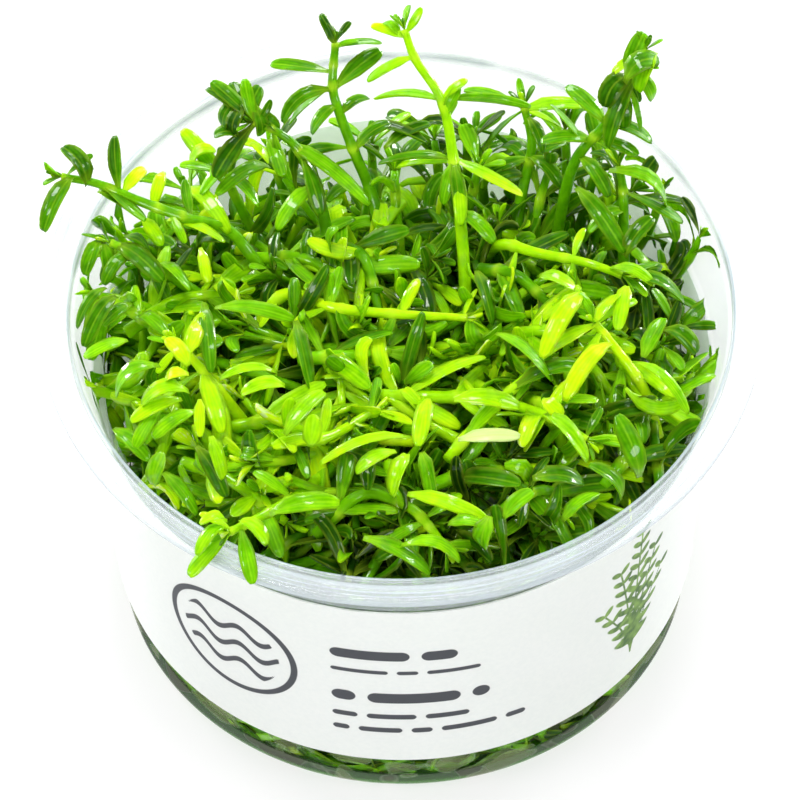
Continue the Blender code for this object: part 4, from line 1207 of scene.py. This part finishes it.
def grow_shoot(growth, root, way, length, tone, chance, bud=SHOOT_BUD, skin="fine"):
    """A young shoot: a curved stem with leaves in crossed pairs, and a bud."""
    side = way.cross(Vector((chance.uniform(-1, 1), chance.uniform(-1, 1), 0.3))).normalized()
    tip = root + way * length
    middle = root.lerp(tip, 0.5) + side * (chance.uniform(-0.3, 0.3) * length)
    count = max(6, int(length / 1.5))
    points = [bent(root, middle, tip, i / (count - 1)) for i in range(count)]
    spacing = chance.uniform(4.8, 7.2)
    nodes = [1 - spacing * (i + 0.5) / length for i in range(int(length / spacing))]
    grow_stem(growth, points, nodes, STEM_RADIUS * 1.02, STEM_RADIUS * 0.65, tone + 0.07, 8 if skin == "fine" else 6)
    start = chance.uniform(0, 90)
    for i, node in enumerate(nodes):
        base = bent(root, middle, tip, node)
        ahead = ((middle - root) * (1 - node) + (tip - middle) * node).normalized()
        across = ahead.cross(Vector((0.2, 0.5, 0.8))).normalized()
        for half in (0, 180):
            turn = Matrix.Rotation(math.radians(start + half + 90 * i + chance.uniform(-25, 25)), 3, ahead)
            out = turn @ across
            angle = math.radians(chance.uniform(35, 85))
            leaf_way = ahead * math.cos(angle) + out * math.sin(angle)
            long = chance.uniform(8.5, 13.0)
            end = base + leaf_way * long
            end.z -= chance.uniform(0.0, 0.55) * long
            control = base + (leaf_way * 0.5 + ahead * chance.uniform(0.0, 0.65)) * long
            facing = ahead * 0.5 - out * 0.2 + Vector((chance.gauss(0, 0.4), -0.25, 0.8))
            width = min(long / chance.uniform(4.3, 6.0), 2.6)
            shape = (width, chance.uniform(0.05, 0.9), chance.uniform(-1.6, 1.6), chance.uniform(0, 0.5))
            growth.leaf(base, control, end, facing, shape, leaf_tones(tone, chance), skin)
    if bud:
        add_bud(growth, tip, (tip - middle).normalized(), tone + 0.06, chance, bud)


def grow_runner(growth, places, tone, chance):
    """A long stem that lies over the top, with leaves in pairs and a bud."""
    points = smooth_route([Vector((x, y, tangle_height(x, y) + lift)) for x, y, lift in places], 32)
    length = sum((b - a).length for a, b in zip(points, points[1:]))
    count = max(2, round(length / 7.5))
    nodes = [(i + 0.5) / count for i in range(count)]
    grow_stem(growth, points, nodes, STEM_RADIUS * 1.15, STEM_RADIUS * 0.75, tone + 0.10, 10)
    for node in nodes:
        base = point_along(points, node)
        ahead = (point_along(points, min(node + 0.06, 1.0)) - base).normalized()
        side = ahead.cross(Vector((0, 0, 1))).normalized()
        for hand in (-1, 1):
            spread = chance.uniform(0.4, 1.1) * hand
            way = (ahead + side * spread + Vector((0, 0, chance.uniform(-0.35, 0.35)))).normalized()
            add_free_leaf(growth, base, way, chance.uniform(8.5, 12.5), tone, chance)
    add_bud(growth, points[-1], (points[-1] - points[-4]).normalized(), tone + 0.05, chance, SHOOT_BUD)


def tangle_tone(x, y):
    """Darker towards the back, as painted shade, and darker to the right and towards the front edge, with brighter
    and darker places.
    """
    tone = 0.54 - 0.001 * y - 0.0038 * max(x, 0) - 0.019 * max(-17 - y, 0)
    for place_x, place_y, size, change in TONE_PLACES:
        tone += change * math.exp(-((x - place_x) ** 2 + (y - place_y) ** 2) / size**2)
    return tone + 0.14 * noise.noise(Vector((x, y, 5.0)) / 9.0)


def spread_over(count, reach, chance):
    """Places over a disc, even on the whole but with natural gaps."""
    spots = []
    for i in range(count):
        radius = reach * math.sqrt((i + 0.5) / count)
        turn = i * math.radians(137.508)
        x = radius * math.cos(turn) + chance.gauss(0, 2.0)
        y = radius * math.sin(turn) + chance.gauss(0, 2.0)
        spots.append((x, y))
    return spots


def add_tangle_piece(name, growth, materials):
    piece = add_object(name, growth.mesh(name), materials)
    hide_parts("plant_tangle")
    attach(piece, "root")


def make_tangle(materials, chance):
    """The shoots that show on top, in four pieces by quarter."""
    quarters = {f"tangle_{depth}_{side}": Growth() for depth in ("front", "back") for side in ("left", "right")}

    def growth_at(x, y):
        return quarters[f"tangle_{'back' if y > 0 else 'front'}_{'left' if x < 0 else 'right'}"]

    for x, y in spread_over(150, 39.0, chance):
        outward = math.degrees(math.atan2(y, x)) if chance.random() < 0.5 else chance.uniform(0, 360)
        way = heading_vector(outward + chance.gauss(0, 50), chance.uniform(-5, 55))
        length = chance.uniform(14, 24)
        top = Vector((x, y, tangle_height(x, y) + chance.uniform(-1.5, 4.0)))
        tone = tangle_tone(x, y) + chance.gauss(0, 0.12)
        grow_shoot(growth_at(x, y), top - way * length, way, length, tone, chance)
    for x, y, heading, rise, length, tone in RISING_SHOOTS:
        way = heading_vector(heading, rise)
        root = Vector((x, y, tangle_height(x, y) - 4))
        grow_shoot(growth_at(x, y), root, way, length, tone, chance)
    for places, tone in RUNNERS:
        grow_runner(growth_at(places[1][0], places[1][1]), places, tone, chance)
    for row in PLACED_LEAVES["tangle"]:
        add_placed_leaves(growth_at(row[0][0], row[0][1]), [row], chance)
    for name, growth in quarters.items():
        add_tangle_piece(name, growth, materials)


def add_shade_core(growth):
    """A near-black lumpy upright spindle in the middle of the tangle: painted shade for the deep shade where no leaf
    can be told from another.
    """
    heights = np.linspace(CORE_FOOT, CORE_TOP, 18)
    points = [(0.0, 1.0, z) for z in heights]
    share = (heights - CORE_FOOT) / (CORE_TOP - CORE_FOOT)
    radii = CORE_RADIUS * np.sqrt(np.maximum(1 - share**5, 0.02)) * (1 + 0.04 * np.sin(heights))
    # Painted shade: a near-black tone.
    growth.tube(points, radii, 0.02, None, 40)


def make_deep_tangle(materials, chance):
    """The older stems and leaves lower in the tub, round a near-black core of painted shade, and loose rootlets."""
    growth = Growth()
    for below, reach, count, tone in DEEP_LAYERS:
        for x, y in spread_over(count, reach, chance):
            z = max(tangle_height(x, y) - below + chance.uniform(-3, 3), FLOOR + 2)
            way = heading_vector(chance.uniform(0, 360), chance.uniform(-25, 40))
            length = chance.uniform(16, 26)
            root = Vector((x, y, z)) - way * length * 0.5
            shade = tone + chance.gauss(0, 0.12)
            grow_shoot(growth, root, way, length, shade, chance, None, "coarse")
    for i in range(ROOTLETS):
        x, y = chance.uniform(-34, 34), chance.uniform(-34, 20)
        z = tangle_height(x, y) - chance.uniform(0, 5)
        start = Vector((x, y, z))
        way = heading_vector(chance.uniform(0, 360), chance.uniform(-20, 20))
        end = start + way * chance.uniform(6, 14)
        middle = start.lerp(end, 0.5) + Vector([chance.uniform(-3, 3) for _ in range(3)])
        points = [bent(start, middle, end, j / 11) for j in range(12)]
        growth.tube(points, np.linspace(0.22, 0.12, 12), chance.uniform(0.85, 1.05), None, 6)
    add_shade_core(growth)
    add_tangle_piece("tangle_deep", growth, materials)


def make_wall_tangle(materials, chance):
    """The leaves and shoots that are pressed against the wall and the floor in the base band."""
    growth = Growth()
    for i in range(PRESSED_LEAVES):
        turn = i * math.radians(137.508)
        height = chance.uniform(1.6, 11.0)
        base = Vector((0, 0, height)) + heading_vector(math.degrees(turn), 0) * chance.uniform(37.5, 39.0)
        outward = heading_vector(math.degrees(turn), 0)
        around = outward.cross(Vector((0, 0, 1)))
        lean = chance.uniform(0, math.tau)
        way = around * math.cos(lean) + Vector((0, 0, 0.7)) * math.sin(lean)
        long = chance.uniform(7.5, 11.5)
        middle = base + (way * 0.5 + outward * 0.05) * long
        shape = (chance.uniform(2.0, 3.0), chance.uniform(0.0, 0.3), chance.uniform(-0.3, 0.3), chance.random())
        tones = leaf_tones(chance.uniform(0.14, 0.48), chance)
        growth.leaf(base, middle, base + way * long, outward, shape, tones, "coarse")
    for i in range(WALL_SHOOTS):
        turn = i * math.tau / WALL_SHOOTS + chance.uniform(-0.03, 0.03)
        x, y = 39.5 * math.sin(turn), -39.5 * math.cos(turn)
        way = heading_vector(math.degrees(turn) + chance.choice((0, 180)), chance.uniform(-50, 50))
        root = Vector((x, y, chance.uniform(2, 13)))
        shade = 0.28 + chance.gauss(0, 0.12)
        grow_shoot(growth, root - way * 7, way, 14.0, shade, chance, None, "coarse")
    add_tangle_piece("tangle_wall", growth, materials)


def main():
    add_camera()
    add_studio()
    chance = random.Random(SEED)
    materials = [leaf_material("leaf_wet", True, 0.30), leaf_material("stem_wet", False, 0.18)]
    make_tub()
    make_label()
    for name, spec in STEMS.items():
        make_stem(name, spec, materials, chance)
    make_tangle(materials, chance)
    make_deep_tangle(materials, chance)
    make_wall_tangle(materials, chance)


main()
